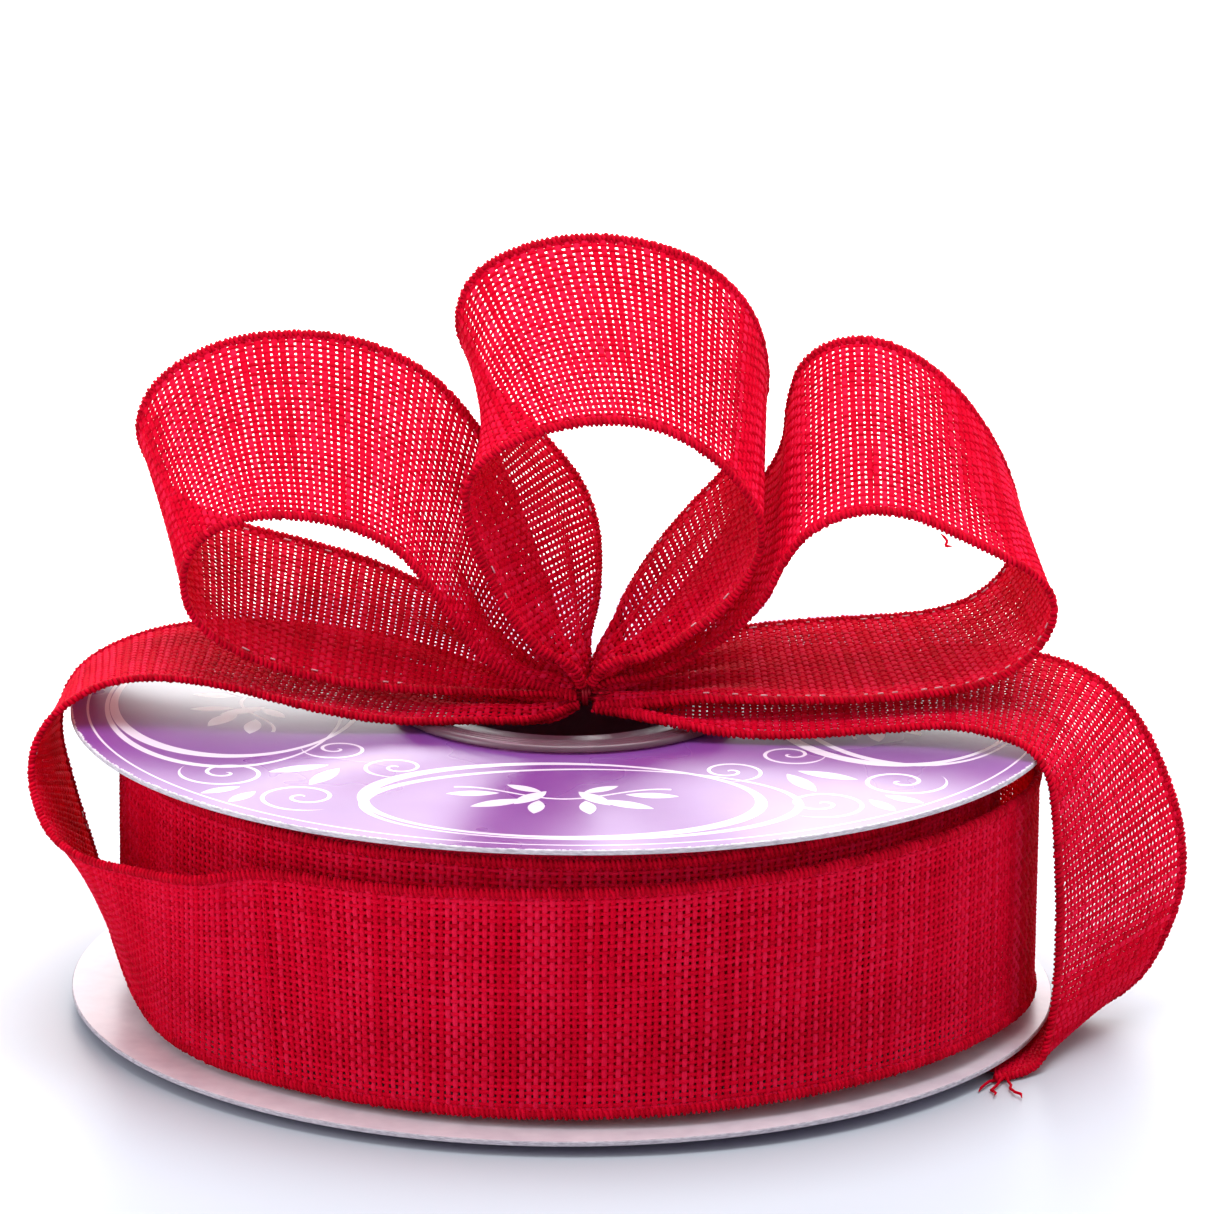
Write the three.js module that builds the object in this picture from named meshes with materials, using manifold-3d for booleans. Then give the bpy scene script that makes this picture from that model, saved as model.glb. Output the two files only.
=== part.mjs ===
// Ribbon spool with a three-loop ribbon bow, millimetres, +Z up.
// The spool stands on its lower hub lip. The origin is under the middle of the whole object.
import * as THREE from 'three';
import { mergeVertices } from 'three/addons/utils/BufferGeometryUtils.js';
import Module from 'manifold-3d';

const wasm = await Module();
wasm.setup();

// driving dimensions
const gap = 0.3;             // clearance between touching pieces
const ribbonWidth = 38;      // 1.5 inch ribbon, outside the two wired edges
const clothThickness = 1;    // solid thickness of a free stretch of ribbon
const edgeRadius = 0.8;      // overlocked edge around its wire
const flangeRadius = 80;
const flangeThickness = 0.8;
const flangeHole = 22.5;
const lipRadius = 28;        // hub lip that clamps a flange
const lowerLip = 1.7;        // lifts the lower flange off the table
const upperLip = 1.1;
const tubeRadius = 22;       // hub tube, outside
const tubeWall = 2;
const spigotRadius = 19.7;   // lower hub's spigot, inside the upper hub
const spigotTop = 33;
const rollClearance = 45.9;  // between the two flanges
const coreRadius = 31.4;     // card tube the ribbon is wound on
const coreWall = 2.5;
const rollRadius = 71;
const rollRise = 4.8;        // the wound turns sit high on the core, and the loosened last turn has dropped
const ribCount = 6;
const ribThickness = 1.4;

// heights, from the table up
const lowerFlangeZ = lowerLip + gap;
const innerFloor = lowerFlangeZ + flangeThickness;
const innerRoof = innerFloor + rollClearance;
const upperFlangeTop = innerRoof + flangeThickness;
const lipTop = upperFlangeTop + gap + upperLip;
const hubSplit = (innerFloor + innerRoof) / 2;
const ribLength = 16;

// materials
const standard = (color, roughness, metalness = 0) =>
  new THREE.MeshStandardMaterial({ color, roughness, metalness });
const finish = {
  cloth: standard(0xc1121f, 0.85),
  edge: standard(0x9d0b1c, 0.8),
  print: standard(0xb79adf, 0.3),
  board: standard(0xe6e2ec, 0.45),
  clear: standard(0xdcd9e6, 0.2),
  core: standard(0xb89b74, 0.9),
  tape: standard(0xe9e2c8, 0.4),
  wire: standard(0xa03030, 0.4, 0.6),
};

const spool = new THREE.Group();
const add = (name, geometry, material, z = 0) => {
  const mesh = new THREE.Mesh(geometry, material);
  mesh.name = name;
  mesh.position.z = z;
  spool.add(mesh);
};

// a turned solid from its closed outline of [radius, height] corners
const turned = (outline, segments) =>
  new THREE.LatheGeometry([...outline, outline[0]].map(([r, z]) => new THREE.Vector2(r, z)), segments)
    .rotateX(Math.PI / 2);

const ring = (inner, outer, height, segments) =>
  turned([[inner, 0], [outer, 0], [outer, height], [inner, height]], segments);

const toSolid = (geometry) => {
  const bare = geometry.index ? geometry.clone() : geometry;
  ['normal', 'uv'].forEach((key) => bare.deleteAttribute(key));
  const merged = mergeVertices(bare, 1e-4);
  return new wasm.Manifold(new wasm.Mesh({
    numProp: 3,
    vertProperties: new Float32Array(merged.attributes.position.array),
    triVerts: new Uint32Array(merged.index.array),
  }));
};

const toGeometry = (solid) => {
  const { vertProperties, triVerts } = solid.getMesh();
  const geometry = new THREE.BufferGeometry();
  geometry.setAttribute('position', new THREE.BufferAttribute(vertProperties, 3));
  geometry.setIndex(new THREE.BufferAttribute(triVerts, 1));
  return geometry;
};

// radial ribs that centre the card tube on the hub tube
const withRibs = (body, fromZ) => {
  const inner = tubeRadius - tubeWall / 2;
  const length = coreRadius - coreWall - gap - inner;
  let solid = toSolid(body);
  for (let i = 0; i < ribCount; i += 1) {
    const rib = new THREE.BoxGeometry(length, ribThickness, ribLength)
      .translate(inner + length / 2, 0, fromZ + ribLength / 2)
      .rotateZ((i * 2 * Math.PI) / ribCount);
    solid = solid.add(toSolid(rib));
  }
  return toGeometry(solid);
};

// the two printed card flanges, the card tube and the wound roll
add('bottom_flange', ring(flangeHole, flangeRadius, flangeThickness, 96), finish.board, lowerFlangeZ);
add('top_flange', ring(flangeHole, flangeRadius, flangeThickness, 96), finish.print, innerRoof);
add('core_tube', ring(coreRadius - coreWall, coreRadius, rollClearance - 2 * gap, 48), finish.core,
  innerFloor + gap);
add('wound_ribbon', ring(coreRadius + 3 * gap, rollRadius, ribbonWidth, 72), finish.cloth, innerFloor + rollRise);

// adhesive tape that holds the ribbon's inner end on the card tube
const tapeShape = new THREE.Shape();
tapeShape.absarc(0, 0, coreRadius + 2 * gap, 1.2, 1.9, false);
tapeShape.absarc(0, 0, coreRadius + gap, 1.9, 1.2, true);
add('start_tape', new THREE.ExtrudeGeometry(tapeShape, { depth: 25, curveSegments: 10, bevelEnabled: false }),
  finish.tape, innerFloor + 9);

// the two clear hub halves: each lip clamps a flange and the lower spigot plugs into the upper tube
const bore = spigotRadius - 1.7;
add('hub_lower', withRibs(turned([
  [bore, 0], [lipRadius - 0.6, 0], [lipRadius, 0.6], [lipRadius, lowerLip], [tubeRadius, lowerLip],
  [tubeRadius, hubSplit - gap / 2], [spigotRadius, hubSplit - gap / 2], [spigotRadius, spigotTop], [bore, spigotTop],
], 48), innerFloor + gap), finish.clear);
add('hub_upper', withRibs(turned([
  [tubeRadius - tubeWall, hubSplit + gap / 2], [tubeRadius, hubSplit + gap / 2], [tubeRadius, lipTop - upperLip],
  [lipRadius, lipTop - upperLip], [lipRadius, lipTop - 0.5], [lipRadius - 0.5, lipTop],
  [tubeRadius + 2.5, lipTop], [tubeRadius + 1.5, lipTop - 0.5], [tubeRadius - tubeWall, lipTop - 0.5],
], 48), innerRoof - gap - ribLength), finish.clear);

// Each free stretch of ribbon is a list of rungs. A rung holds the ribbon's two edges:
// [near x, y, z, far x, y, z], and the ribbon is narrower where it is pinched into the bow.
// The last turn has loosened, so it stands further from the axis towards the tail.
const wrapRung = (degrees, radius, upperLean, zUpper, zLower) => {
  const angle = THREE.MathUtils.degToRad(degrees);
  const [c, s] = [Math.cos(angle), Math.sin(angle)];
  const outer = radius + upperLean;
  return [outer * c, outer * s, zUpper, radius * c, radius * s, zLower];
};

const stretches = {
  outer_wrap: [
    wrapRung(26, 73.5, 0, 41.6, 3.6), wrapRung(8, 76, 0, 42.2, 4.2), wrapRung(-10, 77.2, 0, 43, 5),
    wrapRung(-26, 77.2, 0, 43.8, 5.8), wrapRung(-42, 76.2, 0.3, 43.8, 5.6), wrapRung(-60, 75.2, 0.6, 43.2, 5),
    wrapRung(-78, 74.4, 0.8, 42.4, 4.3), wrapRung(-96, 73.6, 1.4, 41.8, 3.8), wrapRung(-112, 73, 2.4, 41, 3.6),
    wrapRung(-127.5, 72.6, 3.6, 40.2, 3.5),
  ],
  lead: [
    wrapRung(-128.3, 72.6, 3.7, 40.1, 3.5), [-57, -58, 38, -57.5, -44.5, 3.6], [-67, -49, 36.5, -66, -29, 5],
    [-76, -39.5, 35.5, -71.8, -11.5, 11], [-82, -30.5, 37, -76, 3, 21], [-85, -22.5, 42, -80.5, 12, 31.5],
    [-84.5, -19, 47.8, -83, 16, 41], [-80.5, -17.5, 53, -81, 18, 48.2], [-73.5, -16.5, 56.8, -75.5, 20, 52.8],
    [-65, -16.5, 57.9, -65, 21, 56.4], [-54, -17.5, 56.8, -51, 19.5, 58], [-40, -18.5, 53.6, -34, 16.5, 57.4],
    [-27, -17.5, 51.4, -20, 12, 55.5], [-14, -16.5, 52.1, -10, 7, 54], [-4, -11.4, 52.1, -3, 3, 53],
  ],
  left_loop: [
    [-3, -8, 54.9, -2, 1, 56.7], [-12, -11, 54.9, -9, 5, 60.5], [-22, -13.5, 55.2, -19.5, 11, 65],
    [-33, -15.5, 56.6, -31, 16, 69.3], [-44, -16.5, 59, -43, 18.5, 72.3], [-52.5, -17, 62.3, -54, 19, 75],
    [-58.8, -17, 67.2, -63, 18.5, 79.2], [-60.8, -17, 73, -68.3, 16.8, 86], [-59.5, -17, 78.5, -70, 15, 93],
    [-55.5, -17, 82.3, -66.3, 14, 100.6], [-49, -17, 84.3, -57, 13.5, 106.5], [-41, -17, 84.2, -45, 13.5, 108.6],
    [-33, -17, 82.2, -33.5, 13.5, 107.2], [-26.5, -16.5, 78.5, -23.5, 13.5, 102.5],
    [-21.5, -16, 72.3, -15.6, 13, 94.6], [-17, -15.2, 66, -9.8, 11.5, 84.6], [-12.5, -13.5, 61, -5, 8, 72.5],
    [-7, -10.5, 58.5, -1.8, 4, 64.2], [-2.5, -8, 57.8, -1, 1, 60],
  ],
  middle_loop: [
    [0, -9, 60.8, 3, 0, 62.3], [-5, -12, 63.3, 5, 6, 67], [-9.5, -14, 68.5, 5.6, 12, 71.5],
    [-13, -14.5, 75, 4.9, 17, 76.5], [-15.5, -14.5, 81, 2, 19.5, 83], [-16.5, -14.5, 87, -4, 20.5, 90],
    [-15, -14.5, 91.8, -11.5, 21, 97], [-11, -14.5, 95.2, -17, 20, 104.5], [-6.5, -14.5, 97.4, -18.3, 18, 111.5],
    [-1.5, -14.5, 98.9, -15, 16.5, 118.5], [4, -14.5, 99.8, -6.5, 15.5, 123.2], [10, -14.5, 99.8, 4, 15, 124.8],
    [16, -14.5, 98.4, 14, 15.2, 123.4], [22, -14.5, 95, 23, 16, 119.2], [27, -14.5, 90.5, 29.3, 17.5, 112],
    [30.5, -14.5, 85, 31.9, 19, 103], [31, -14.5, 79.7, 31, 20, 94], [29, -14.5, 74.8, 26.5, 20, 86],
    [25, -14.5, 69.5, 20, 18.5, 79], [19.5, -14, 65, 14, 15, 73], [13.5, -12.5, 62, 9.4, 10, 67.5],
    [8.5, -9.5, 60.8, 7.4, 3, 63.5],
  ],
  right_loop: [
    [9.5, -7.5, 57.6, 9.7, 2.5, 59.8], [14.5, -10, 58.8, 15.5, 8, 64.8], [20.5, -12, 61.3, 22, 13, 71.5],
    [26.5, -13, 65.3, 29, 16, 80], [31.5, -14, 71, 34.8, 16.5, 89.5], [34.5, -15, 77, 36, 16.5, 98],
    [38, -15.5, 81.8, 38, 16, 104], [43.5, -16, 85.2, 42.8, 15.5, 107.6], [49.5, -16, 86.2, 49, 15.2, 108.2],
    [56, -16, 85.2, 55.4, 15.2, 105.8], [63, -16, 82.2, 61.6, 15.5, 101], [69.5, -16, 79.2, 66.8, 16, 94.5],
    [74.5, -16, 76.5, 70.6, 17, 87.5], [77.5, -16, 73.2, 73, 18.2, 80], [78, -16, 69.3, 73.4, 19.4, 73],
    [76, -16, 64.8, 70.8, 20, 67.3], [72, -16, 60.9, 66, 20, 63.3], [66, -16.3, 58.1, 59.5, 20, 61],
    [57, -16.5, 56.5, 51.5, 20, 60], [46, -16.5, 55.5, 42, 19.5, 59.5], [34, -16, 55.2, 32, 18, 58.8],
    [23, -14, 55.1, 22.5, 14, 58], [14.5, -11, 54.9, 15, 8, 57], [9.5, -8, 54.8, 10, 2.5, 56.4],
  ],
  tail: [
    [9.5, -8.4, 52.1, 10, 2, 53.4], [16, -16.2, 52.1, 17, 8, 54], [26, -21, 51, 26, 13.5, 55],
    [38, -21.5, 51, 38, 16.6, 55.4], [50, -21.2, 51.9, 50, 16.4, 56], [61, -22, 52.9, 62, 14.5, 56.8],
    [69, -25.5, 52.4, 73, 11.5, 57], [74, -28.5, 50.9, 82, 8, 55.8], [76.8, -30, 46.8, 89, 5.5, 52.5],
    [77.8, -31, 40, 94.4, 3.5, 46.5], [78.3, -31.3, 32, 98.6, 2, 38], [78.6, -31.5, 24.5, 101, 0, 29.5],
    [78.6, -31.8, 17.5, 101, -2.5, 21.5], [78.3, -32.5, 11, 98.2, -5, 13.5], [77.5, -34, 5.5, 94, -6.5, 7],
    [76.3, -36.5, 2.2, 88, -6.5, 2.6], [73.5, -39.5, 0.95, 80.5, -7, 0.95], [69, -42.5, 0.95, 70, -8, 0.95],
  ],
};

// the tie draws the bow's pinched ends forward and down; the pull fades to the sides and up the loops
const settle = ([x, y, z]) => {
  const aside = Math.max(0, 1 - Math.abs(x - 3.4) / 24);
  const pull = aside * aside * (3 - 2 * aside) * THREE.MathUtils.clamp((78 - z) / 18, 0, 1);
  return [x, y - 6 * pull, z - pull * THREE.MathUtils.clamp((z - 52.2) / 1.8, 0, 1)];
};

const settled = (name, rungs) => (name === 'outer_wrap' ? rungs
  : rungs.map((rung) => [...settle(rung.slice(0, 3)), ...settle(rung.slice(3))]));

const edgeCurve = (rungs, offset) =>
  new THREE.CatmullRomCurve3(rungs.map((r) => new THREE.Vector3(...r.slice(offset, offset + 3))), false,
    'catmullrom', 0.5);

// samples the two edges at the same rung parameter, so a rung stays a rung
const sampleRungs = (rungs, steps) => {
  const [near, far] = [edgeCurve(rungs, 0), edgeCurve(rungs, 3)];
  const pairs = Array.from({ length: steps + 1 }, (_, i) => [near.getPoint(i / steps), far.getPoint(i / steps)]);
  return pairs.map(([a, b], i) => {
    const before = pairs[Math.max(i - 1, 0)];
    const after = pairs[Math.min(i + 1, steps)];
    const across = b.clone().sub(a).normalize();
    const along = after[0].clone().add(after[1]).sub(before[0]).sub(before[1]);
    return { a, b, across, normal: along.cross(across).normalize() };
  });
};

// a closed solid through rings of points; each ring runs along one side and back along the other
const loft = (rings) => {
  const around = rings[0].length;
  const last = (rings.length - 1) * around;
  const triangles = [];
  const quad = (p, q, r, s) => triangles.push(p, q, r, p, r, s);
  for (let start = 0; start < last; start += around) {
    for (let j = 0; j < around; j += 1) {
      const next = (j + 1) % around;
      quad(start + j, start + around + j, start + around + next, start + next);
    }
  }
  for (let j = 0; j < around / 2 - 1; j += 1) {
    const opposite = around - 1 - j;
    quad(j, j + 1, opposite - 1, opposite);
    quad(last + j, last + opposite, last + opposite - 1, last + j + 1);
  }
  const geometry = new THREE.BufferGeometry().setFromPoints(rings.flat());
  geometry.setIndex(triangles);
  return geometry;
};

// a thin closed slab between the two wired edges
const clothSlab = (rungs, steps, columns = 2) => {
  const inset = 2 * (edgeRadius + gap);
  return loft(sampleRungs(rungs, steps).map(({ a, b, across, normal }) => {
    const start = a.clone().addScaledVector(across, inset);
    const end = b.clone().addScaledVector(across, -inset);
    const side = (sign) => Array.from({ length: columns + 1 }, (_, j) =>
      start.clone().lerp(end, j / columns).addScaledVector(normal, (sign * clothThickness) / 2));
    return [...side(1), ...side(-1).reverse()];
  }));
};

// the wire in its overlocked thread, along one edge
const edgeCord = (rungs, steps, key) => {
  const inward = key === 'a' ? edgeRadius : -edgeRadius;
  return loft(sampleRungs(rungs, steps).map((sample) => {
    const centre = sample[key].clone().addScaledVector(sample.across, inward);
    return Array.from({ length: 6 }, (_, i) => {
      const angle = THREE.MathUtils.degToRad(150 - 60 * i);
      return centre.clone().addScaledVector(sample.across, edgeRadius * Math.cos(angle))
        .addScaledVector(sample.normal, edgeRadius * Math.sin(angle));
    });
  }));
};

Object.entries(stretches).forEach(([name, placed]) => {
  const rungs = settled(name, placed);
  const steps = (rungs.length - 1) * 2;
  add(name, clothSlab(rungs, steps), finish.cloth);
  add(`${name}_near_edge`, edgeCord(rungs, steps, 'a'), finish.edge);
  add(`${name}_far_edge`, edgeCord(rungs, steps, 'b'), finish.edge);
});

// the pinched layers in the middle of the bow, and the wire twisted round them
const knot = { x: [-1.2, 7.9], y: [-14, -3.6], z: [52.2, 57.4] };
const size = ([low, high]) => high - low;
const middle = ([low, high]) => (low + high) / 2;
add('bow_gather', new THREE.SphereGeometry(0.5, 20, 12)
  .scale(size(knot.x), size(knot.y), size(knot.z))
  .translate(middle(knot.x), middle(knot.y), middle(knot.z)), finish.cloth);

const wireRadius = 0.35;
const wireLoop = Array.from({ length: 24 }, (_, i) => {
  const angle = (i / 24) * 2 * Math.PI;
  const reach = gap + 2 * wireRadius;
  return new THREE.Vector3(middle(knot.x), middle(knot.y) + (size(knot.y) / 2 + reach) * Math.cos(angle),
    middle(knot.z) + (size(knot.z) / 2 + reach) * Math.sin(angle));
});
const wireSection = new THREE.Shape(Array.from({ length: 6 }, (_, i) =>
  new THREE.Vector2(wireRadius * Math.cos((i * Math.PI) / 3), wireRadius * Math.sin((i * Math.PI) / 3))));
add('bow_tie_wire', new THREE.ExtrudeGeometry(wireSection, {
  steps: 30, bevelEnabled: false, extrudePath: new THREE.CatmullRomCurve3([...wireLoop, wireLoop[0].clone()]
    .slice(0, 24), false),
}), finish.wire);

// stand the assembly on the table with its box centred on the origin
spool.updateMatrixWorld(true);
const box = new THREE.Box3().setFromObject(spool, true);
spool.position.set(-(box.min.x + box.max.x) / 2, -(box.min.y + box.max.y) / 2, -box.min.z);

export default spool;
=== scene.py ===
import math

import bmesh
import bpy
import numpy as np
from mathutils import Matrix, Vector


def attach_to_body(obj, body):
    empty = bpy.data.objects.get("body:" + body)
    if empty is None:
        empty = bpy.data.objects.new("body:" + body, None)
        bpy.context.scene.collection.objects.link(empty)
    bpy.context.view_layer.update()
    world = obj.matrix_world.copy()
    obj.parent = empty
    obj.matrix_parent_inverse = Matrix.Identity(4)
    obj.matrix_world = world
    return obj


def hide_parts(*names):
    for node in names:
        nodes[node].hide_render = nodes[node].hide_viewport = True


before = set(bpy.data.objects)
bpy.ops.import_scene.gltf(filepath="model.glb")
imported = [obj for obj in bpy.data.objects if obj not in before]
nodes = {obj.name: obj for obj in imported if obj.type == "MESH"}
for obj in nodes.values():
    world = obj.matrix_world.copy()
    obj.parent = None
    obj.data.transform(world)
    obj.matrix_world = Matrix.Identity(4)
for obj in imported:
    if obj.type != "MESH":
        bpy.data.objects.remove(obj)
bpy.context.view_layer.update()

mm = 0.001
axisX = -7.8335 * mm     # the spool's axis, from the middle of the whole object


def hexColour(code):
    # sRGB hex to linear rgba
    parts = [int(code[i:i + 2], 16) / 255 for i in (1, 3, 5)]
    return tuple(c / 12.92 if c <= 0.04045 else ((c + 0.055) / 1.055) ** 2.4 for c in parts) + (1.0,)


def feed(tree, node, links):
    # each link is a socket, a fixed value or a list of sockets
    for key, value in links.items():
        socket = node.inputs[key]
        for item in value if isinstance(value, list) else [value]:
            if isinstance(item, bpy.types.NodeSocket):
                tree.links.new(item, socket)
            else:
                socket.default_value = item


def addNode(tree, kind, links=None, **settings):
    # one node with its settings
    node = tree.nodes.new(kind)
    for key, value in settings.items():
        setattr(node, key, value)
    feed(tree, node, links or {})
    return node


# short names for the nodes that come up again and again
def maths(tree, operation, *values):
    return addNode(tree, "ShaderNodeMath", dict(enumerate(values)), operation=operation).outputs[0]


def wholes(tree, operation, *values):
    return addNode(tree, "FunctionNodeIntegerMath", dict(enumerate(values)), operation=operation).outputs[0]


def vectors(tree, operation, *values):
    return addNode(tree, "ShaderNodeVectorMath", dict(enumerate(values)), operation=operation).outputs[0]


def scaled(tree, vector, amount):
    return addNode(tree, "ShaderNodeVectorMath", {0: vector, "Scale": amount}, operation="SCALE").outputs[0]


def combined(tree, x, y, z):
    return addNode(tree, "ShaderNodeCombineXYZ", {"X": x, "Y": y, "Z": z}).outputs[0]


def named(tree, label, kind):
    return addNode(tree, "GeometryNodeInputNamedAttribute", {"Name": label}, data_type=kind).outputs[0]


def stored(tree, geometry, label, value):
    return addNode(tree, "GeometryNodeStoreNamedAttribute", {"Geometry": geometry, "Name": label, "Value": value},
                   data_type="FLOAT", domain="POINT").outputs[0]


def pushed(tree, geometry, offset):
    return addNode(tree, "GeometryNodeSetPosition", {"Geometry": geometry, "Offset": offset}).outputs[0]


def circle(tree, sides):
    return addNode(tree, "GeometryNodeCurvePrimitiveCircle", {"Resolution": sides, "Radius": 1.0},
                   mode="RADIUS").outputs[0]


def chanceOf(tree, low, high, seed, number=None):
    links = {2: low, 3: high, "Seed": seed} | ({} if number is None else {"ID": number})
    return addNode(tree, "FunctionNodeRandomValue", links, data_type="FLOAT").outputs[1]


def noise(tree, place, scale, detail):
    return addNode(tree, "ShaderNodeTexNoise", {"Vector": place, "Scale": scale, "Detail": detail})


def blended(tree, share, first, second):
    return addNode(tree, "ShaderNodeMix", {0: share, 6: first, 7: second}, data_type="RGBA").outputs[2]


def rescaled(tree, value, low, high):
    return addNode(tree, "ShaderNodeMapRange", {"Value": value, "From Min": low, "From Max": high}).outputs[0]


def between(tree, value, low, high):
    return addNode(tree, "ShaderNodeMapRange", {"Value": value, "To Min": low, "To Max": high}).outputs[0]


def bumped(tree, height, strength, distance):
    return addNode(tree, "ShaderNodeBump", {"Height": height, "Strength": strength, "Distance": distance})


def objectSpace(tree):
    return addNode(tree, "ShaderNodeTexCoord").outputs["Object"]


def newTree(name, sockets):
    # a geometry tree with named inputs, each (name, kind)
    tree = bpy.data.node_groups.new(name, "GeometryNodeTree")
    tree.interface.new_socket("Geometry", in_out="INPUT", socket_type="NodeSocketGeometry")
    tree.interface.new_socket("Geometry", in_out="OUTPUT", socket_type="NodeSocketGeometry")
    for label, kind in sockets:
        tree.interface.new_socket(label, in_out="INPUT", socket_type="NodeSocket" + kind)
    return tree, tree.nodes.new("NodeGroupInput").outputs, tree.nodes.new("NodeGroupOutput").inputs


def closeTree(tree, geometry, material, output):
    real = addNode(tree, "GeometryNodeRealizeInstances", {"Geometry": geometry}).outputs[0]
    smooth = addNode(tree, "GeometryNodeSetShadeSmooth", {"Geometry": real}).outputs[0]
    painted = addNode(tree, "GeometryNodeSetMaterial", {"Geometry": smooth, "Material": material})
    tree.links.new(painted.outputs[0], output[0])


def grown(name, tree, values, mesh=None):
    # runs a geometry tree once and keeps the result as a plain mesh piece
    carrier = bpy.data.objects.new(name + "_carrier", mesh or bpy.data.meshes.new(name + "_carrier"))
    bpy.context.scene.collection.objects.link(carrier)
    modifier = carrier.modifiers.new("nodes", "NODES")
    modifier.node_group = tree
    known = {s.name: s.identifier for s in tree.interface.items_tree if s.in_out == "INPUT"}
    for label, value in values.items():
        modifier[known[label]] = value
    bpy.context.view_layer.update()
    graph = bpy.context.evaluated_depsgraph_get()
    result = bpy.data.meshes.new_from_object(carrier.evaluated_get(graph), depsgraph=graph)
    result.name = name
    piece = bpy.data.objects.new(name, result)
    bpy.context.scene.collection.objects.link(piece)
    carrier.modifiers.remove(modifier)
    bpy.data.objects.remove(carrier)
    return piece


def plainPiece(name, points, faces, material, smooth=True):
    mesh = bpy.data.meshes.new(name)
    mesh.from_pydata([tuple(p) for p in points], [], faces)
    mesh.validate()
    mesh.polygons.foreach_set("use_smooth", [smooth] * len(mesh.polygons))
    mesh.materials.append(material)
    piece = bpy.data.objects.new(name, mesh)
    bpy.context.scene.collection.objects.link(piece)
    return piece


def attach(piece, body, slotName, *replaced):
    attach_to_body(piece, body)
    if replaced:
        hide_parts(*replaced)


# camera, floor and light
studio = {
    "aim": (6.6 * mm + axisX, 0, 66.3 * mm), "distance": 1292 * mm, "elevation": 15.2, "roll": 0.7, "lens": 237.2,
    # floor: the colour of the painted shade on the floor round the spool
    "floor": "#bbc1cb", "surround": "#ffffff", "surroundPower": 0.75,
}


def makeStudio():
    scene = bpy.context.scene
    lift = math.radians(studio["elevation"])
    aim = Vector(studio["aim"])
    back = Vector((0, -math.cos(lift), math.sin(lift)))
    turn = Matrix.Rotation(math.radians(studio["roll"]), 3, back)
    up = turn @ Vector((0, math.sin(lift), math.cos(lift)))
    camera = bpy.data.objects.new("camera", bpy.data.cameras.new("camera"))
    camera.data.sensor_width = 36
    camera.data.lens = studio["lens"]
    camera.data.clip_start, camera.data.clip_end = 0.05, 50
    camera.matrix_world = Matrix.Translation(aim + back * studio["distance"]) @ Matrix(
        (up.cross(back), up, back)).transposed().to_4x4()
    scene.collection.objects.link(camera)
    scene.camera = camera

    scene.view_settings.view_transform = "Standard"
    world = bpy.data.worlds.new("softTent")
    world.use_nodes = True
    sky = world.node_tree.nodes["Background"]
    sky.inputs["Color"].default_value = hexColour(studio["surround"])
    sky.inputs["Strength"].default_value = studio["surroundPower"]
    scene.world = world

    paper = bpy.data.materials.new("studioPaper")
    paper.use_nodes = True
    shader = paper.node_tree.nodes["Principled BSDF"]
    # painted shade on the floor round the spool: the "floor" colour within 0.14 m of the middle, fading to white by
    # 0.23 m
    away = addNode(paper.node_tree, "ShaderNodeVectorMath", {0: objectSpace(paper.node_tree)},
        operation="LENGTH").outputs["Value"]
    paintedShadeFade = addNode(paper.node_tree, "ShaderNodeMapRange", {"Value": away, "From Min": 0.14, "From Max": 0.23},
                    interpolation_type="SMOOTHSTEP")
    tint = addNode(paper.node_tree, "ShaderNodeMix",
        {0: paintedShadeFade.outputs[0], 6: hexColour(studio["floor"]), 7: (1, 1, 1, 1)}, data_type="RGBA")
    feed(paper.node_tree, shader, {"Base Color": tint.outputs[2], "Roughness": 0.4, "Specular IOR Level": 0.12})
    size = 6
    floor = plainPiece("floor", [(-size, -size, 0), (size, -size, 0), (size, size, 0), (-size, size, 0)],
                       [(0, 1, 2, 3)], paper, False)

    # name, place, aim, size, power in watts
    for label, place, target, width, height, power in (
            ("overheadBox", (0.1, 0.05, 1.1), (0, 0, 0.05), 0.9, 0.9, 15.5),
            ("backBox", (-0.1, 1.3, 0.55), (0, 0, 0.07), 1.4, 0.9, 14),
            ("frontFill", (-1.4, -0.6, 0.6), (0, 0, 0.05), 0.9, 0.9, 9)):
        lamp = bpy.data.objects.new(label, bpy.data.lights.new(label, "AREA"))
        lamp.data.shape, lamp.data.size, lamp.data.size_y = "RECTANGLE", width, height
        lamp.data.energy = power
        lamp.location = place
        lamp.rotation_mode = "QUATERNION"
        lamp.rotation_quaternion = (Vector(target) - Vector(place)).to_track_quat("-Z", "Y")
        scene.collection.objects.link(lamp)


makeStudio()
print("studio ready")


# Materials
def newMaterial(name):
    material = bpy.data.materials.new(name)
    material.use_nodes = True
    tree = material.node_tree
    return material, tree, tree.nodes["Principled BSDF"], tree.nodes["Material Output"]


ribbonDye = {"shade": "#c0001a", "body": "#f00034", "lit": "#ff2a60", "edge": "#dc0028"}


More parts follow.
